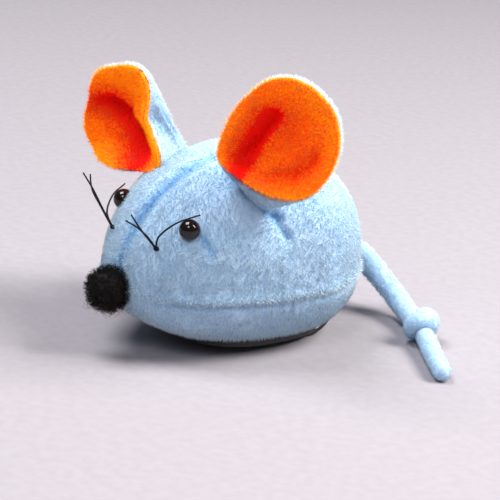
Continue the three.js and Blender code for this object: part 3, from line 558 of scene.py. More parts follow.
def make_materials():
    made = {
        "blue": plush_skin("plush_blue_ground", BLUE_LIGHT, BLUE_MIDDLE, BLUE_PAINTED_SHADE),
        "orange": plush_skin("plush_orange_ground", ORANGE_LIGHT, ORANGE_MIDDLE, ORANGE_PAINTED_SHADE),
        "bead": glossy_bead("bead_gloss"),
        "thread": thread("thread_black", (0.006, 0.006, 0.009)),
        "pompom": thread("pompom_ground", (0.004, 0.004, 0.004), 1800.0),
        "filling": filling("filling_fibre"),
        "washer": moulded("washer_nylon", (0.80, 0.80, 0.77), 0.45),
        "chassis": moulded("chassis_plastic", (0.016, 0.017, 0.020), 0.42),
        "housing": moulded("housing_plastic", (0.74, 0.76, 0.77), 0.32, coat=0.2),
        "hub": moulded("hub_plastic", (0.80, 0.80, 0.77), 0.3, coat=0.3),
        "gear": moulded("gear_acetal", (0.86, 0.81, 0.66), 0.38),
        "steel": metal("zinc_steel", (0.68, 0.69, 0.71)),
        "rubber": rubber("tyre_rubber"),
        "key": moulded("key_plastic", (0.86, 0.86, 0.84), 0.28, coat=0.4),
    }
    # The deep tone of each pile is painted shade, worn by the fibres in creases and folds
    made["blue_pile"] = [
        pile_tone("pile_blue_light", (0.64, 0.82, 0.92), 0.3),
        pile_tone("pile_blue_middle", (0.40, 0.64, 0.85), 0.3),
        pile_tone("pile_blue_painted_shade", (0.12, 0.40, 0.74), 0.1),
    ]
    made["orange_pile"] = [
        pile_tone("pile_orange_light", (1.0, 0.40, 0.003), 0.0, ORANGE_PAINTED_GLOW),
        pile_tone("pile_orange_middle", (1.0, 0.21, 0.002), 0.0, ORANGE_PAINTED_GLOW),
        pile_tone("pile_orange_painted_shade", (0.85, 0.006, 0.001), 0.0, ORANGE_PAINTED_GLOW),
    ]
    made["black_pile"] = [
        pile_tone("pile_black", (0.004, 0.004, 0.004), 0.0),
        pile_tone("pile_black_soft", (0.010, 0.009, 0.009), 0.0),
        pile_tone("pile_brown", (0.07, 0.03, 0.015), 0.0),
    ]
    return made


# ---- Pile ----
def mark(obj, name, values):
    attribute = obj.data.attributes.get(name) or obj.data.attributes.new(name, "FLOAT", "POINT")
    attribute.data.foreach_set("value", np.asarray(values, np.float32))


def surface_of(obj):
    """Points in millimetres, triangle corners, areas and normals, and the painted crease shade share of
    each point.
    """
    mesh = obj.data
    mesh.calc_loop_triangles()
    points = np.empty(len(mesh.vertices) * 3)
    mesh.vertices.foreach_get("co", points)
    points = points.reshape(-1, 3) / MM
    corners = np.empty(len(mesh.loop_triangles) * 3, int)
    mesh.loop_triangles.foreach_get("vertices", corners)
    corners = corners.reshape(-1, 3)
    first, second, third = points[corners].transpose(1, 0, 2)
    cross = np.cross(second - first, third - first)
    crease_shade = np.zeros(len(points), np.float32)
    if "painted_crease_shade" in mesh.attributes:
        mesh.attributes["painted_crease_shade"].data.foreach_get("value", crease_shade)
    return points, corners, np.linalg.norm(cross, axis=1) / 2, unit(cross), crease_shade


def grow_pile(obj, name, tones, seed, pile, lie, keep):
    """Closed spikes over obj: lie(points, normals) is the way they lie, pile["lean"] how far they do."""
    jitter = pile.get("jitter", 0.13)
    length, width, lean = pile["length"], pile["width"], pile["lean"]
    points, corners, area, normals, crease_shade = surface_of(obj)
    middle = points[corners].mean(axis=1)
    weight = area * keep(middle, normals)
    random = np.random.RandomState(seed)
    count = int(weight.sum() * pile["per_mm2"])
    chosen = random.choice(len(corners), count, p=weight / weight.sum())
    a, b = random.rand(2, count)
    over = a + b > 1
    a[over], b[over] = 1 - a[over], 1 - b[over]
    share = np.stack([1 - a - b, a, b], axis=1)
    root = (points[corners[chosen]] * share[:, :, None]).sum(axis=1)
    deep = (crease_shade[corners[chosen]] * share).sum(axis=1)
    normal = normals[chosen]
    way = unit(lie(root, normal) + random.normal(0, jitter, (count, 3)))
    way = way - normal * (way * normal).sum(axis=1, keepdims=True)
    rise = unit(normal + way * lean + random.normal(0, 0.12, (count, 3)))
    size = length * (0.7 + 0.6 * random.rand(count)) * (1 - 0.35 * deep)
    tip = root + rise * size[:, None]
    start = root - normal * 0.25
    across = unit(np.cross(rise, random.normal(0, 1, (count, 3))))
    behind = unit(np.cross(rise, across))
    base = [
        start + (across * math.cos(t) + behind * math.sin(t)) * width / 2
        for t in (0, 2 * math.pi / 3, 4 * math.pi / 3)
    ]
    vertices = np.stack([*base, tip], axis=1).reshape(-1, 3)
    first = np.arange(count) * 4
    faces = (first[:, None] + SPIKE_CORNERS.ravel()).reshape(-1, 3)
    spikes = mesh_from_arrays(name, vertices, faces)
    for tone in tones:
        spikes.data.materials.append(tone)
    # Painted shade: fibres in creases take the darker tones, the deepest only there, over a random spread
    # of tone
    shade = deep * 1.5 + random.rand(count) * 0.9 - 0.15
    tone = np.where(shade > 1.0, 2, np.where(shade > 0.38, 1, 0)).astype(np.int32)
    spikes.data.polygons.foreach_set("material_index", np.repeat(tone, 4))
    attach(spikes, obj["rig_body"])
    return spikes


def mesh_from_arrays(name, vertices, faces):
    """A smooth triangle mesh made in one go from arrays in millimetres."""
    mesh = bpy.data.meshes.new(name)
    mesh.vertices.add(len(vertices))
    mesh.vertices.foreach_set("co", (vertices * MM).astype(np.float32).ravel())
    mesh.loops.add(len(faces) * 3)
    mesh.loops.foreach_set("vertex_index", faces.astype(np.int32).ravel())
    mesh.polygons.add(len(faces))
    mesh.polygons.foreach_set("loop_start", np.arange(0, len(faces) * 3, 3, dtype=np.int32))
    mesh.polygons.foreach_set("use_smooth", np.ones(len(faces), bool))
    mesh.update(calc_edges=True)
    mesh.validate()
    return linked(name, mesh)


# ---- Body shape ----
def station(along):
    """Core height and the three radii of the body at a share of its length, 0 at the nose."""
    front = along < WIDEST_AT
    x = np.minimum(np.where(front, along / WIDEST_AT, (1 - along) / (1 - WIDEST_AT)), 1)

    def swell(power, root):
        return (1 - (1 - x) ** power) ** (1 / root)

    end = np.where(front, CORE_NOSE_Z, CORE_TAIL_Z)
    core = end + (CORE_MIDDLE_Z - end) * np.sin(x * math.pi / 2)
    side = np.where(front, swell(2.085, 2.11), swell(1.75, 1.75)) * BODY_HALF_WIDTH
    above = np.where(front, swell(2.085, 2.01), swell(1.75, 1.75)) * (BODY_TOP - core)
    below = np.where(front, swell(2.6, 1.8), swell(2.6, 2.2)) * (core - BODY_BOTTOM)
    return core, side, above, below


def body_points(along, angle):
    """Points of the skin at a share of the length and an angle: 0 is the left, a quarter turn the top."""
    core, side, above, below = station(along)
    c, s = np.cos(angle), np.sin(angle)
    upper = s >= 0
    power = 2 / np.where(upper, UPPER_SQUARENESS, LOWER_SQUARENESS)
    reach = np.where(upper, above, below)
    x = side * np.sign(c) * np.abs(c) ** power
    z = core + reach * np.sign(s) * np.abs(s) ** power
    return np.stack([x, BODY_FRONT + (BODY_REAR - BODY_FRONT) * along, z], axis=-1)


def seam_angle(along):
    """How far below the core line the belly seam runs, as an angle."""
    core, _, _, below = station(along)
    share = np.clip((core - SEAM_Z) / np.maximum(below, 1e-6), 0, 1)
    return np.arcsin(share ** (LOWER_SQUARENESS / 2))


def skin_spot(spot, side):
    """The point of the skin at a given (y, z) on one side, and its normal."""
    def at(y, z):
        core, half, above, below = station(np.array((y - BODY_FRONT) / (BODY_REAR - BODY_FRONT)))
        if z >= core:
            rise, power = (z - core) / above, UPPER_SQUARENESS
        else:
            rise, power = (core - z) / below, LOWER_SQUARENESS
        return np.array([side * half * (1 - rise**power) ** (1 / power), y, z])

    y, z = spot
    point = at(y, z)
    normal = unit(np.cross(at(y + 0.1, z) - point, at(y, z + 0.1) - point))
    return point, normal if normal[0] * side > 0 else -normal


def sewn_in(points):
    """How far seams and darts pull the skin in at each point, and how much painted shade their creases get.
    """
    x, y, z = points.T
    small = smoothstep(np.minimum(y - BODY_FRONT, BODY_REAR - y), 0.5, 7)
    high = smoothstep(z, SEAM_Z + 1, SEAM_Z + 4)
    wander = 0.25 * roughly(points * (0, 1, 0), 0.35, 3.0)
    top = bell(np.abs(x + wander), 1.6) * high * small
    top_ridge = bell(np.abs(x + wander) - 3.5, 1.2) * high * small
    from_seam = z - SEAM_Z
    gather = 0.75 + 0.9 * roughly(points * (1, 1, 0.2), 0.55, 9.0)
    belly = bell(from_seam, 0.75) * small
    ruffle = bell(from_seam - 1.7, 1.1) * gather * small
    pull = 1.5 * top + 0.5 * belly - 0.45 * top_ridge - 0.4 * ruffle
    # Painted shade: strong in the top seam's channel, faint along the belly seam
    tone = 0.9 * top + 0.15 * belly
    for start, end, depth, radius in DARTS:
        near = bell(distance_to_line(points, [start, end]), radius)
        pull += depth * near
        # Painted shade in the crease of each dart
        tone = np.maximum(tone, 0.45 * near)
    return pull, np.clip(tone, 0, 1)


def shaped_skin(grid):
    """A grid of skin points with its seams, darts and small unevenness, and the painted shade of its
    creases.
    """
    normals = grid_normals(grid).reshape(-1, 3)
    points = grid.reshape(-1, 3)
    outward = (normals * (points - BODY_MIDDLE)).sum(axis=1)
    if np.median(outward) < 0:
        normals = -normals
    pull, tone = sewn_in(points)
    lumps = 0.22 * roughly(points, 0.11, 20.0) + 0.10 * roughly(points, 0.32, 30.0)
    nap = 0.07 * roughly(points * (1, 1, 0.45), 1.6, 50.0)
    return points + normals * (lumps + nap - pull)[:, None], tone


def panel(name, grid, node, material, cutter=None):
    """A fabric panel of the body that stands for its CAD node."""
    rows, columns = grid.shape[:2]
    points, tone = shaped_skin(grid)
    faces = grid_faces(rows, columns)
    obj = add_mesh(name, points, faces, material)
    mark(obj, "painted_crease_shade", tone)
    facing_out(obj)
    middle = Vector((0, *points.mean(axis=0)[1:])) * MM
    outward = sum((face.center - middle).dot(face.normal) * face.area for face in obj.data.polygons)
    if outward < 0:
        obj.data.flip_normals()
    thick = obj.modifiers.new("fabric", "SOLIDIFY")
    thick.thickness = FABRIC * MM
    thick.offset = -1
    if cutter:
        cut = obj.modifiers.new("window", "BOOLEAN")
        cut.object = cutter
        cut.operation = "DIFFERENCE"
        cut.solver = "EXACT"
    applied(obj)
    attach(obj, "mouse")
    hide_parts(node)
    return obj


def extruded(name, outline, low, high):
    """A closed block with a given outline in x and y."""
    count = len(outline)
    points = [(x, y, low) for x, y in outline] + [(x, y, high) for x, y in outline]
    faces = [tuple(range(count))[::-1], tuple(range(count, 2 * count))]
    faces += [(i, (i + 1) % count, count + (i + 1) % count, count + i) for i in range(count)]
    return add_mesh(name, points, faces, smooth=False)


def window_cutter():
    """What the base plate and its wheel arches take out of the belly panel, as one block."""
    angles = np.linspace(0, 2 * math.pi, 96, endpoint=False)
    power = 2 / PLATE["power"]
    c, s = np.cos(angles), np.sin(angles)
    half_width, half_length = PLATE["half_width"] + WINDOW_GAP, PLATE["half_length"] + WINDOW_GAP
    x = half_width * np.sign(c) * np.abs(c) ** power
    y = PLATE["centre_y"] + half_length * np.sign(s) * np.abs(s) ** power
    for i in range(len(x)):
        rear, outer = HOOD["y"] + HOOD["radius"] + WINDOW_GAP, HOOD["outer"] + WINDOW_GAP
        if HOOD["inner"] - 1 < abs(x[i]) <= outer + 0.6 and y[i] > HOOD["y"]:
            y[i] = max(y[i], rear)
            x[i] = math.copysign(min(abs(x[i]), outer), x[i])
    return extruded("window_cutter", list(zip(x, y)), -5, WINDOW_TOP)


def key_hole_cutter():
    """What the neck of the key's eyelet takes out of the right side."""
    low, high = (np.array(corner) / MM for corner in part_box("key_eyelet"))
    centre = (low[0] - KEY_HOLE_REACH, *((low + high) / 2)[1:])
    profile = [(KEY_HOLE_RADIUS, 0), (KEY_HOLE_RADIUS, 2 * KEY_HOLE_REACH)]
    return turned("key_hole_cutter", profile, 40, centre, (1.0, 0.0, 0.0), None)


def nose_to_tail(rows, margin):
    """Shares of the body's length, closer together towards both ends."""
    return (1 - np.cos(np.linspace(margin, math.pi - margin, rows))) / 2


def side_grid(side):
    rows, columns = SIDE_GRID
    along = nose_to_tail(rows, 0.03)
    low = -seam_angle(along)
    share = np.linspace(0, 1, columns)
    angle = low[:, None] + (math.pi / 2 - 0.004 - low[:, None]) * share[None, :]
    grid = body_points(np.repeat(along[:, None], columns, axis=1), angle)
    return grid * (side, 1, 1)


def belly_grid():
    rows, columns = BELLY_GRID
    along = nose_to_tail(rows, 0.05)
    inset = seam_angle(along)
    share = np.linspace(0, 1, columns)
    angle = -inset[:, None] - (math.pi - 2 * inset[:, None]) * share[None, :]
    return body_points(np.repeat(along[:, None], columns, axis=1), angle)


def combed_down(points, normals):
    """The body's pile lies down and a little forward, and down from the top seam."""
    way = np.tile((0.0, -0.35, -1.0), (len(points), 1))
    way[:, 0] = np.sign(points[:, 0]) * 0.4 * smoothstep(points[:, 2], 30, 42)
    swirl = np.stack([roughly(points, 0.14, s) for s in (0.0, 40.0, 80.0)], axis=1)
    return way + 0.35 * swirl


def off_the_fittings(points, normals):
    """1 where the outer face of the body grows pile: not inside it, under an eye or beside the key."""
    outward = unit(points - BODY_MIDDLE)
    outside = (normals * outward).sum(axis=1) > 0.2
    for side in (1, -1):
        eye, _ = skin_spot(EYE_SPOT, side)
        outside &= np.linalg.norm(points - eye, axis=1) > EYE_RADIUS * 0.75
        knot, _ = skin_spot(WHISKER_SPOT, side)
        outside &= np.linalg.norm(points - knot, axis=1) > 0.5
    low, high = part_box("key_eyelet")
    eyelet = (np.array(low) + np.array(high)) / 2 / MM
    near_key = np.linalg.norm((points - eyelet)[:, 1:], axis=1) < 4.0
    outside &= ~(near_key & (points[:, 0] < 0))
    return outside.astype(float)


def ruffled(points, normals):
    """Pile caught up by the belly seam stands up and out over it."""
    return np.tile((0.0, 0.0, 0.6), (len(points), 1)) + normals


def over_belly_seam(points, normals):
    return off_the_fittings(points, normals) * bell(points[:, 2] - SEAM_Z - 1.2, 0.9)


def along_top_seam(points, normals):
    return off_the_fittings(points, normals) * bell(points[:, 0], 1.3) * (points[:, 2] > SEAM_Z + 3)


def make_body(materials):
    window, key_hole = window_cutter(), key_hole_cutter()
    panels = [
        panel("plush_left_side", side_grid(1), "left_side_panel", materials["blue"]),
        panel("plush_right_side", side_grid(-1), "right_side_panel", materials["blue"], key_hole),
        panel("plush_belly", belly_grid(), "belly_panel", materials["blue"], window),
    ]
    for cutter in (window, key_hole):
        bpy.data.objects.remove(cutter)
    light, middle, deep = materials["blue_pile"]
    for seed, obj in enumerate(panels):
        grow_pile(obj, obj.name + "_pile", [light, middle, deep], seed, PILE["body"],
                  combed_down, off_the_fittings)
    for seed, obj in enumerate(panels[:2]):
        grow_pile(obj, obj.name + "_gathered_pile", [light, light, middle], 40 + seed, PILE["gathered"],
                  ruffled, over_belly_seam)
        # The top seam's pile takes the darkest tones: painted shade in its channel
        grow_pile(obj, obj.name + "_seam_pile", [deep, deep, middle], 50 + seed, PILE["seam"],
                  combed_down, along_top_seam)


# ---- Stuffing ----
def make_stuffing(materials):
    """Lumpy filling round the motor: the CAD solid's shape with a tufted surface."""
    source = frame["nodes"]["stuffing"]
    obj = linked("stuffing_fill", source.data.copy())
    remesh = obj.modifiers.new("even", "REMESH")
    remesh.mode = "VOXEL"
    remesh.voxel_size = 0.9 * MM
    applied(obj)
    mesh = obj.data
    points = np.array([v.co for v in mesh.vertices]) / MM
    normals = np.array([v.normal for v in mesh.vertices])
    tufts = 0.25 * roughly(points, 0.35, 5.0) + 0.12 * roughly(points, 0.9, 15.0) - 0.35
    mesh.vertices.foreach_set("co", ((points + normals * tufts[:, None]) * MM).astype(np.float32).ravel())
    mesh.shade_smooth()
    mesh.materials.clear()
    mesh.materials.append(materials["filling"])
    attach(obj, "mouse")
    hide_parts("stuffing")


# ---- Ears ----
def ear_axes(ear):
    up = unit(ear["up"])
    face = np.array(ear["facing"], float)
    face = unit(face - up * (face @ up))
    return up, face, np.cross(up, face)


def rim_reach(ear, u, v):
    """How much farther or nearer than a plain disc the outline is, in each direction."""
    angle = np.degrees(np.arctan2(v, u))
    reach = np.ones(len(u))
    for middle, share, width in ear["lobes"]:
        reach += share * bell((angle - middle + 180) % 360 - 180, width)
    return reach


def cupped(ear, u, v):
    """Points of the ear before its folds: a cup whose lower edge is turned up and comes forward."""
    up, face, across = ear_axes(ear)
    reach = rim_reach(ear, u, v)
    low = smoothstep(-v, 0.3, 1)
    depth = -EAR_CUP * (1 - u * u - v * v) + EAR_LIP * low
    return (
        np.array(ear["centre"])
        + across * (ear["width"] * u * reach)[:, None]
        + up * (ear["height"] * v * reach * (1 - ear["curl"] * low))[:, None]
        + face * depth[:, None]
    )


def ear_folds(ear, u, v):
    """How far each point is pushed along the way the ear faces, and how much painted shade its folds give
    it.
    """
    reach = rim_reach(ear, u, v)
    spot = np.stack([u * reach, v * reach], axis=1)
    window = np.clip((1 - u * u - v * v) * 2.4, 0, 1) ** 0.6
    push = np.zeros(len(u))
    tone = np.zeros(len(u))
    for line, fold_depth, half_width in ear["folds"]:
        near = bell(distance_to_line(spot, line), half_width)
        push -= fold_depth * near * window
        fold_shade = bell(distance_to_line(spot, line), half_width * 1.5)
        tone = np.maximum(tone, fold_shade * smoothstep(fold_depth, 0, 4))
    roll_u, roll_v, height = ear["roll"]
    push += height * bell(np.hypot(u - roll_u, (v - roll_v) * 0.45), 0.24) * window
    waves = 0.35 * roughly(np.stack([u * 3, v * 3, u * 0], axis=1), 1.0, 7.0)
    return push + waves, tone


def drawn_to_root(ear, points, u, v):
    """The back of the ear runs down to the root that is sewn into the head."""
    spot_u, spot_v, reach = ear["root_spot"]
    inner, outer = (np.array(end) for end in ear["root"])
    across = np.clip((u - spot_u) / reach, -1, 1) / 2 + 0.5
    root = inner + (outer - inner) * across[:, None]
    share = bell(np.hypot(u - spot_u, v - spot_v), reach) * smoothstep(1 - np.hypot(u, v), 0, 0.3)
    up, face, _ = ear_axes(ear)
    pouch = ear["pouch"] * bell(np.hypot(u, v) - 0.82, 0.17) * smoothstep(-v, 0.0, 0.7)
    points = points + (root - points) * share[:, None] + (0.2 * face - up) * pouch[:, None]
    return points - face * share[:, None]


def behind_lining(ear, points):
    """How far back each point of the back has to go to stay behind the folds of the lining."""
    up, face, across = ear_axes(ear)
    away = points - np.array(ear["centre"])
    u, v = away @ across / ear["width"], away @ up / ear["height"]
    reach = rim_reach(ear, u, v)
    u, v = u / reach, v / reach
    lining = cupped(ear, u, v) - np.array(ear["centre"])
    depth = lining @ face + ear_folds(ear, u, v)[0]
    return np.minimum(depth - away @ face - 0.4, 0) * smoothstep(1 - np.hypot(u, v), 0, 0.15)


def ear_layer(side, layer, offset, material):
    """One closed layer of an ear, its lining or its back, rounded at its rim."""
    ear = EARS[side]
    face = ear_axes(ear)[1]
    rings, around = EAR_GRID
    angles = np.linspace(0, 2 * math.pi, around, endpoint=False)
    radius = np.sin(np.linspace(0.02, 1, rings) * math.pi / 2)
    r = np.concatenate([radius, radius[-2::-1]])
    front = np.concatenate([np.ones(rings), -np.ones(rings - 1)])
    thin = front * np.sqrt(np.maximum(0, 1 - r**6))
    u = (r[:, None] * np.cos(angles)[None, :]).ravel()
    v = (r[:, None] * np.sin(angles)[None, :]).ravel()
    lift = offset + np.repeat(thin, around) * EAR_LAYER / 2
    push, tone = ear_folds(ear, u, v)
    points = cupped(ear, u, v)
    if layer == "back":
        points = drawn_to_root(ear, points, u, v)
        push *= smoothstep(v, -0.75, -0.35)
        push += behind_lining(ear, points + push[:, None] * face)
        # The back keeps a faint share of the folds' painted shade
        tone *= 0.3
    else:
        # Painted shade deepening toward the middle of the cup, on top of the folds'
        tone = np.clip(tone + 0.3 * (1 - u * u - v * v), 0, 1)
    points += 0.10 * roughly(points, 1.1, 60.0)[:, None] + (push + lift)[:, None] * face
    points = np.vstack([points, points[:around].mean(axis=0), points[-around:].mean(axis=0)])
    tone = np.concatenate([tone, [tone[:around].mean()] * 2])
    obj = add_mesh(f"{side}_ear_{layer}_plush", points, capped_faces(len(r), around), material)
    mark(obj, "painted_crease_shade", tone)
    facing_out(obj)
    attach(obj, "mouse")
    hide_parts(f"{side}_ear_{layer}")
    return obj


def facing_out(obj):
    edit = bmesh.new()
    edit.from_mesh(obj.data)
    bmesh.ops.recalc_face_normals(edit, faces=edit.faces)
    edit.to_mesh(obj.data)
    edit.free()


def inner_side(ear):
    """Keeps pile on the open side of the lining and round its rim."""
    _, face, _ = ear_axes(ear)
    return lambda points, normals: ((normals @ face) > -0.7).astype(float)


def outer_side(ear):
    """Keeps pile on the outside of the back, which below the lining also faces forward."""
    up, face, _ = ear_axes(ear)
    low = -0.45 * ear["height"]

    def keep(points, normals):
        below = (points - np.array(ear["centre"])) @ up < low
        return (((normals @ -face) > -0.2) | below).astype(float)

    return keep


def make_ears(materials):
    for seed, (side, ear) in enumerate(EARS.items()):
        up = ear_axes(ear)[0]
        away = EAR_LAYER / 2 - 0.1
        lining = ear_layer(side, "lining", away, materials["orange"])
        back = ear_layer(side, "back", -away, materials["blue"])

        def upward(points, normals, centre=np.array(ear["centre"]), up=up):
            outward = unit(points - centre)
            return up * 0.8 + outward * 0.8

        grow_pile(lining, lining.name + "_pile", materials["orange_pile"], 10 + seed, PILE["ear_lining"],
                  upward, inner_side(ear))
        grow_pile(back, back.name + "_pile", materials["blue_pile"], 20 + seed, PILE["ear_back"],
                  upward, outer_side(ear))


# ---- Nose ----
def pompom_core(materials):
    obj = sphere("pompom_core", 1.0, 5)
    points = np.array([v.co for v in obj.data.vertices]) / MM
    lumps = 1 + 0.06 * roughly(points, 2.3, 2.0) + 0.05 * roughly(points, 5.0, 12.0)
    points = points * (lumps * (NOSE_RADIUS - 0.9))[:, None] + NOSE_CENTRE
    obj.data.vertices.foreach_set("co", (points * MM).astype(np.float32).ravel())
    obj.data.materials.append(materials["pompom"])
    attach(obj, "mouse")
    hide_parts("nose_pompom")


def sphere(name, radius, subdivisions):
    edit = bmesh.new()
    bmesh.ops.create_icosphere(edit, subdivisions=subdivisions, radius=radius * MM)
    mesh = bpy.data.meshes.new(name)
    edit.to_mesh(mesh)
    edit.free()
    mesh.shade_smooth()
    return linked(name, mesh)


def curly_fibres(name, tones, count, reach, width, curl, seed, share_brown, below=False):
    """Curly closed fibres that leave the pompom in all directions."""
    random = np.random.RandomState(seed)
    steps, sides = 6, 3
    vertices, faces, tone = [], [], []
    for _ in range(count):
        way = unit(random.normal(0, 1, 3))
        if below:
            way = unit(way * (1, 1, 0.4) + (0.2, -0.3, -0.9))
        across = unit(np.cross(way, random.normal(0, 1, 3)))
        over = np.cross(way, across)
        phase, turns = random.rand() * 2 * math.pi, random.uniform(0.5, 1.4)
        size = reach * random.uniform(0.75, 1.15)
        t = np.linspace(0, 1, steps)
        swing = curl * size * t * random.uniform(0.5, 1.2)
        angle = phase + turns * 2 * math.pi * t
        start = np.array(NOSE_CENTRE) + way * (NOSE_RADIUS - 1.6)
        line = start + way * (size * t)[:, None] + across * (swing * np.cos(angle))[:, None]
        line = line + over * (swing * np.sin(angle))[:, None]
        ring_points, ring_faces = tube_points(line, width / 2 * (1 - 0.6 * t), sides)
        faces += [tuple(c + len(vertices) * len(ring_points) for c in face) for face in ring_faces]
        vertices.append(ring_points)
        tone += [2 if random.rand() < share_brown else int(random.rand() < 0.4)] * len(ring_faces)
    obj = add_mesh(name, np.vstack(vertices), faces)
    for material in tones:
        obj.data.materials.append(material)
    obj.data.polygons.foreach_set("material_index", np.array(tone, np.int32))
    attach(obj, "mouse")


def make_nose(materials):
    pompom_core(materials)
    curly_fibres("pompom_fibres", materials["black_pile"], **NOSE_FIBRES)
    curly_fibres("pompom_stray_fibres", materials["black_pile"], **STRAY_FIBRES, below=True)


# ---- Eyes and whiskers ----
def turned(name, profile, segments, centre, axis, material):
    """A turned piece from (radius, height) points, its axis through centre."""
    count = len(profile)
    angles = np.linspace(0, 2 * math.pi, segments, endpoint=False)
    side = unit(np.cross(axis, (0.3, 0.2, 1.0)))
    over = np.cross(axis, side)
    points = [
        np.array(centre) + np.array(axis) * h + (side * math.cos(a) + over * math.sin(a)) * r
        for r, h in profile
        for a in angles
    ]
    faces = grid_faces(count, segments, closed=True)
    faces += [tuple(range(segments))[::-1], tuple(range((count - 1) * segments, count * segments))]
    obj = add_mesh(name, points, faces, material)
    facing_out(obj)
    return obj


def make_eye(side_name, side, materials):
    """A bead with a flattened back and its shank through the fabric."""
    point, normal = skin_spot(EYE_SPOT, side)
    arcs = np.linspace(-0.36 * math.pi, 0.497 * math.pi, 30)
    dome = [(EYE_RADIUS * math.cos(a), EYE_RADIUS * math.sin(a) + EYE_PROUD[side_name]) for a in arcs]
    eye = turned(f"{side_name}_bead", EYE_SHANK + dome, 48, point, normal, materials["bead"])
    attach(eye, "mouse")
    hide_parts(f"{side_name}_eye")


def make_whiskers(side_name, side, materials):
    """Three thread ends and the knot they leave."""
    point, normal = skin_spot(WHISKER_SPOT, side)
    root = point + normal * 0.55
    pieces = []
    for i, strand in enumerate(WHISKER_STRANDS[side_name]):
        line, _ = route([root + np.array(p) * (side, 1, 1) for p in strand], 44)
        share = np.linspace(0, 1, len(line))
        wave = np.sin(share * 7 + i * 2.0) * 0.18 * share
        line = line + np.outer(wave, normal)
        tube = tube_points(line, THREAD_RADIUS * (1 - 0.25 * share), THREAD_SIDES)
        pieces.append(add_mesh(f"{side_name}_whisker_{i + 1}", *tube, materials["thread"]))
    angles = np.linspace(0, 4.6 * math.pi, 90)
    across = unit(np.cross(normal, (0.0, 0.0, 1.0)))
    over = np.cross(normal, across)
    rise = np.outer(0.35 + 0.28 * np.sin(angles * 0.6), normal)
    circle = np.outer(np.cos(angles), across) + np.outer(np.sin(angles) * 0.75, over)
    tube = tube_points(point + rise + circle * 0.42, np.full(len(angles), THREAD_RADIUS), THREAD_SIDES)
    knot = add_mesh(f"{side_name}_whisker_knot", *tube, materials["thread"])
    for piece in [*pieces, knot]:
        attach(piece, "mouse")
    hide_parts(f"{side_name}_whiskers")


# ---- Tail ----
def make_tail():
    """The stuffed tail along the CAD route, with a waist where its knot sits."""
    line, length = route(TAIL_ROUTE, TAIL_RINGS)
    share = np.linspace(0, 1, TAIL_RINGS)
    radii = TAIL_ROOT_RADIUS + (TAIL_TIP_RADIUS - TAIL_ROOT_RADIUS) * share
    start_cap = np.sqrt(np.clip(1 - (1 - np.clip(share * length / 1.3, 0, 1)) ** 2, 0, 1))
    end_cap = np.sqrt(np.clip(1 - (1 - np.clip((1 - share) * length / TAIL_TIP_RADIUS, 0, 1)) ** 2, 0, 1))
    waist = 1 - 0.16 * bell((share - TAIL_KNOT_AT) * length, 5.0)
    radii = np.maximum(radii * start_cap * end_cap * waist, 0.05)
    points, faces = tube_points(line, radii, TAIL_SIDES)
    middle = np.vstack([np.repeat(line, TAIL_SIDES, axis=0), line[0], line[-1]])
    uneven = 1 + 0.05 * roughly(points, 0.4, 8.0) + 0.03 * roughly(points, 1.3, 18.0)
    points = middle + (points - middle) * uneven[:, None]
    points[:, 2] = np.maximum(points[:, 2], FLOOR_GAP)
    tail = add_mesh("plush_tail", points, faces)
    mark(tail, "painted_crease_shade", np.zeros(len(points)))
    return tail, line, length


def make_knot(line):
    """A little over one wrap of the same tube round the tail, drawn tight."""
    at = int(TAIL_KNOT_AT * (TAIL_RINGS - 1))
    along = unit(line[at + 2] - line[at - 2])
    across = unit(np.cross(along, (0.0, 0.0, 1.0)))
    over = np.cross(across, along)
    t = np.linspace(0, 1, KNOT_RINGS)
    angle = 2 * math.pi * KNOT_WRAPS * t + 0.9
    reach = KNOT_REACH * np.maximum(np.sin(math.pi * t), 0) ** 0.22
    slide = KNOT_LENGTH * (t - 0.5) + 0.9 * np.sin(angle + 0.6)
    centre = line[at] + (0, 0, KNOT_LIFT)
    wrap = centre + np.outer(slide, along) + np.outer(reach * np.cos(angle), across)
    wrap = wrap + np.outer(reach * np.sin(angle) * 0.82, over)
    radii = KNOT_RADIUS * np.clip(np.minimum(t, 1 - t) * 14, 0.05, 1) ** 0.5
    points, faces = tube_points(wrap, radii, KNOT_SIDES)
    points = points + 0.08 * roughly(points, 0.9, 28.0)[:, None]
    points[:, 2] = np.maximum(points[:, 2], FLOOR_GAP)
    knot = add_mesh("plush_tail_knot", points, faces)
    # Painted shade, deepest at the middle of the wrap
    mark(knot, "painted_crease_shade", bell((t - 0.5) * 3, 0.2).repeat(KNOT_SIDES).tolist() + [0, 0])
    return knot


def declare_tail():
    tail, line, length = make_tail()
    knot = make_knot(line)
    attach(tail, "tail")
    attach(knot, "tail")
    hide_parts("tail")
    return tail, knot


def cover_tail(tail, knot, materials):
    def toward_tip(points, normals):
        return np.tile((0.8, -0.5, -0.3), (len(points), 1))

    def off_the_floor(points, normals):
        return (points[:, 2] > 0.5).astype(float)

    for seed, obj in enumerate((tail, knot)):
        obj.data.materials.append(materials["blue"])
        facing_out(obj)
        pile = grow_pile(obj, obj.name + "_pile", materials["blue_pile"], 30 + seed, PILE["tail"],
                         toward_tip, off_the_floor)
        trimmed_to_floor(pile)


def trimmed_to_floor(obj):
    points = np.empty(len(obj.data.vertices) * 3, np.float32)
    obj.data.vertices.foreach_get("co", points)
    points = points.reshape(-1, 3)
    points[:, 2] = np.maximum(points[:, 2], 0.05 * MM)
    obj.data.vertices.foreach_set("co", points.ravel())


# ---- Moulded and metal parts ----
FINISH_OF_SLOT = {
    "chassis_black": "chassis",
    "housing_white": "housing",
    "hub_white": "hub",
    "gear_cream": "gear",
    "steel": "steel",
    "rubber_black": "rubber",
    "key_white": "key",
    "washer_white": "washer",
    "filling_white": "filling",
    "plush_blue": "blue",
    "plush_orange": "orange",
    "pompom_black": "pompom",
    "bead_black": "bead",
    "thread_black": "thread",
}
BEVEL = {"base_plate": 0.25, "winding_key": 0.35, "motor_case_left": 0.25, "motor_case_right": 0.25}


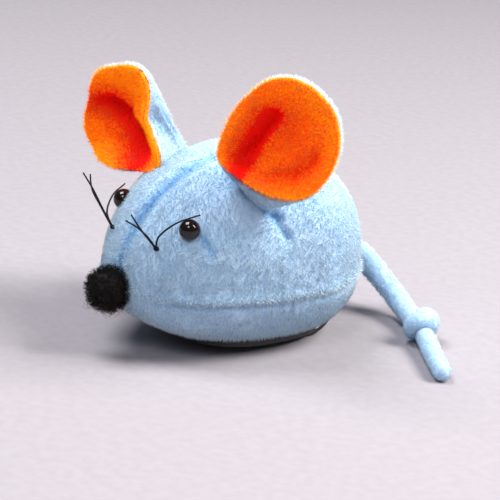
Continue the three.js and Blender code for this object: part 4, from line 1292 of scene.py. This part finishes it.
def finish_frame(materials):
    """Gives each CAD node its material, smooth round faces and a small edge radius where it is moulded."""
    slot_of = {p["node"]: p["material_slot"] for p in frame["record"]["subparts"]}
    for name, obj in frame["nodes"].items():
        obj.data.materials.clear()
        obj.data.materials.append(materials[FINISH_OF_SLOT[slot_of[name]]])
        obj.data.shade_smooth()
        width = BEVEL.get(name)
        if width:
            bevel = obj.modifiers.new("edges", "BEVEL")
            bevel.width = width * MM
            bevel.segments = 2
            bevel.limit_method = "ANGLE"
            bevel.angle_limit = math.radians(40)
            bevel.use_clamp_overlap = True
        obj.data.set_sharp_from_angle(angle=math.radians(32))


# ---- Stage ----
def make_camera():
    azimuth, elevation, roll = (math.radians(a) for a in (CAMERA_AZIMUTH, CAMERA_ELEVATION, CAMERA_ROLL))
    back = Vector((math.sin(azimuth) * math.cos(elevation), -math.cos(azimuth) * math.cos(elevation),
                   math.sin(elevation)))
    right = Vector((math.cos(azimuth), math.sin(azimuth), 0))
    up = back.cross(right)
    rolled_right = right * math.cos(roll) + up * math.sin(roll)
    rolled_up = up * math.cos(roll) - right * math.sin(roll)
    camera = linked("camera", bpy.data.cameras.new("camera"))
    camera.data.lens = CAMERA_LENS
    camera.data.clip_start = 0.01
    camera.data.clip_end = 20
    place = Vector(CAMERA_TARGET) + rolled_right * CAMERA_SIDE + rolled_up * CAMERA_RISE
    place = place + back * CAMERA_DISTANCE
    turn = Matrix((rolled_right, rolled_up, back)).transposed().to_4x4()
    camera.matrix_world = Matrix.Translation(place * MM) @ turn
    bpy.context.scene.camera = camera


def area_light(name, place, side, power, colour):
    light = linked(name, bpy.data.lights.new(name, "AREA"))
    light.data.shape = "RECTANGLE"
    light.data.size, light.data.size_y = side, side
    light.data.energy = power
    light.data.color = colour
    light.location = place
    light.rotation_euler = (Vector(LIGHT_TARGET) - Vector(place)).to_track_quat("-Z", "Y").to_euler()


def make_stage():
    corners = [(x * FLOOR_HALF, y * FLOOR_HALF, 0) for x, y in ((-1, -1), (1, -1), (1, 1), (-1, 1))]
    floor = add_mesh("floor", corners, [(0, 1, 2, 3)], smooth=False)
    nodes = Nodes("floor_paper", roughness=0.85)
    grain = nodes.noise(400, 3.0)
    nodes.colour(nodes.ramp(grain, FLOOR_TONES))
    floor.data.materials.append(nodes.material)
    for name, settings in LIGHTS.items():
        area_light(name, *settings)
    world = bpy.data.worlds.new("studio")
    bpy.context.scene.world = world
    world.use_nodes = True
    background = world.node_tree.nodes["Background"]
    background.inputs["Color"].default_value = SKY_COLOUR
    background.inputs["Strength"].default_value = SKY_STRENGTH
    bpy.context.scene.view_settings.view_transform = "Standard"


# ---- Making it ----
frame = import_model()
make_camera()
tail_piece, knot_piece = declare_tail()
shared = make_materials()
make_stage()
finish_frame(shared)
make_body(shared)
make_stuffing(shared)
make_ears(shared)
make_nose(shared)
for side_label, side_sign in (("left", 1), ("right", -1)):
    make_eye(side_label, side_sign, shared)
    make_whiskers(side_label, side_sign, shared)
cover_tail(tail_piece, knot_piece, shared)
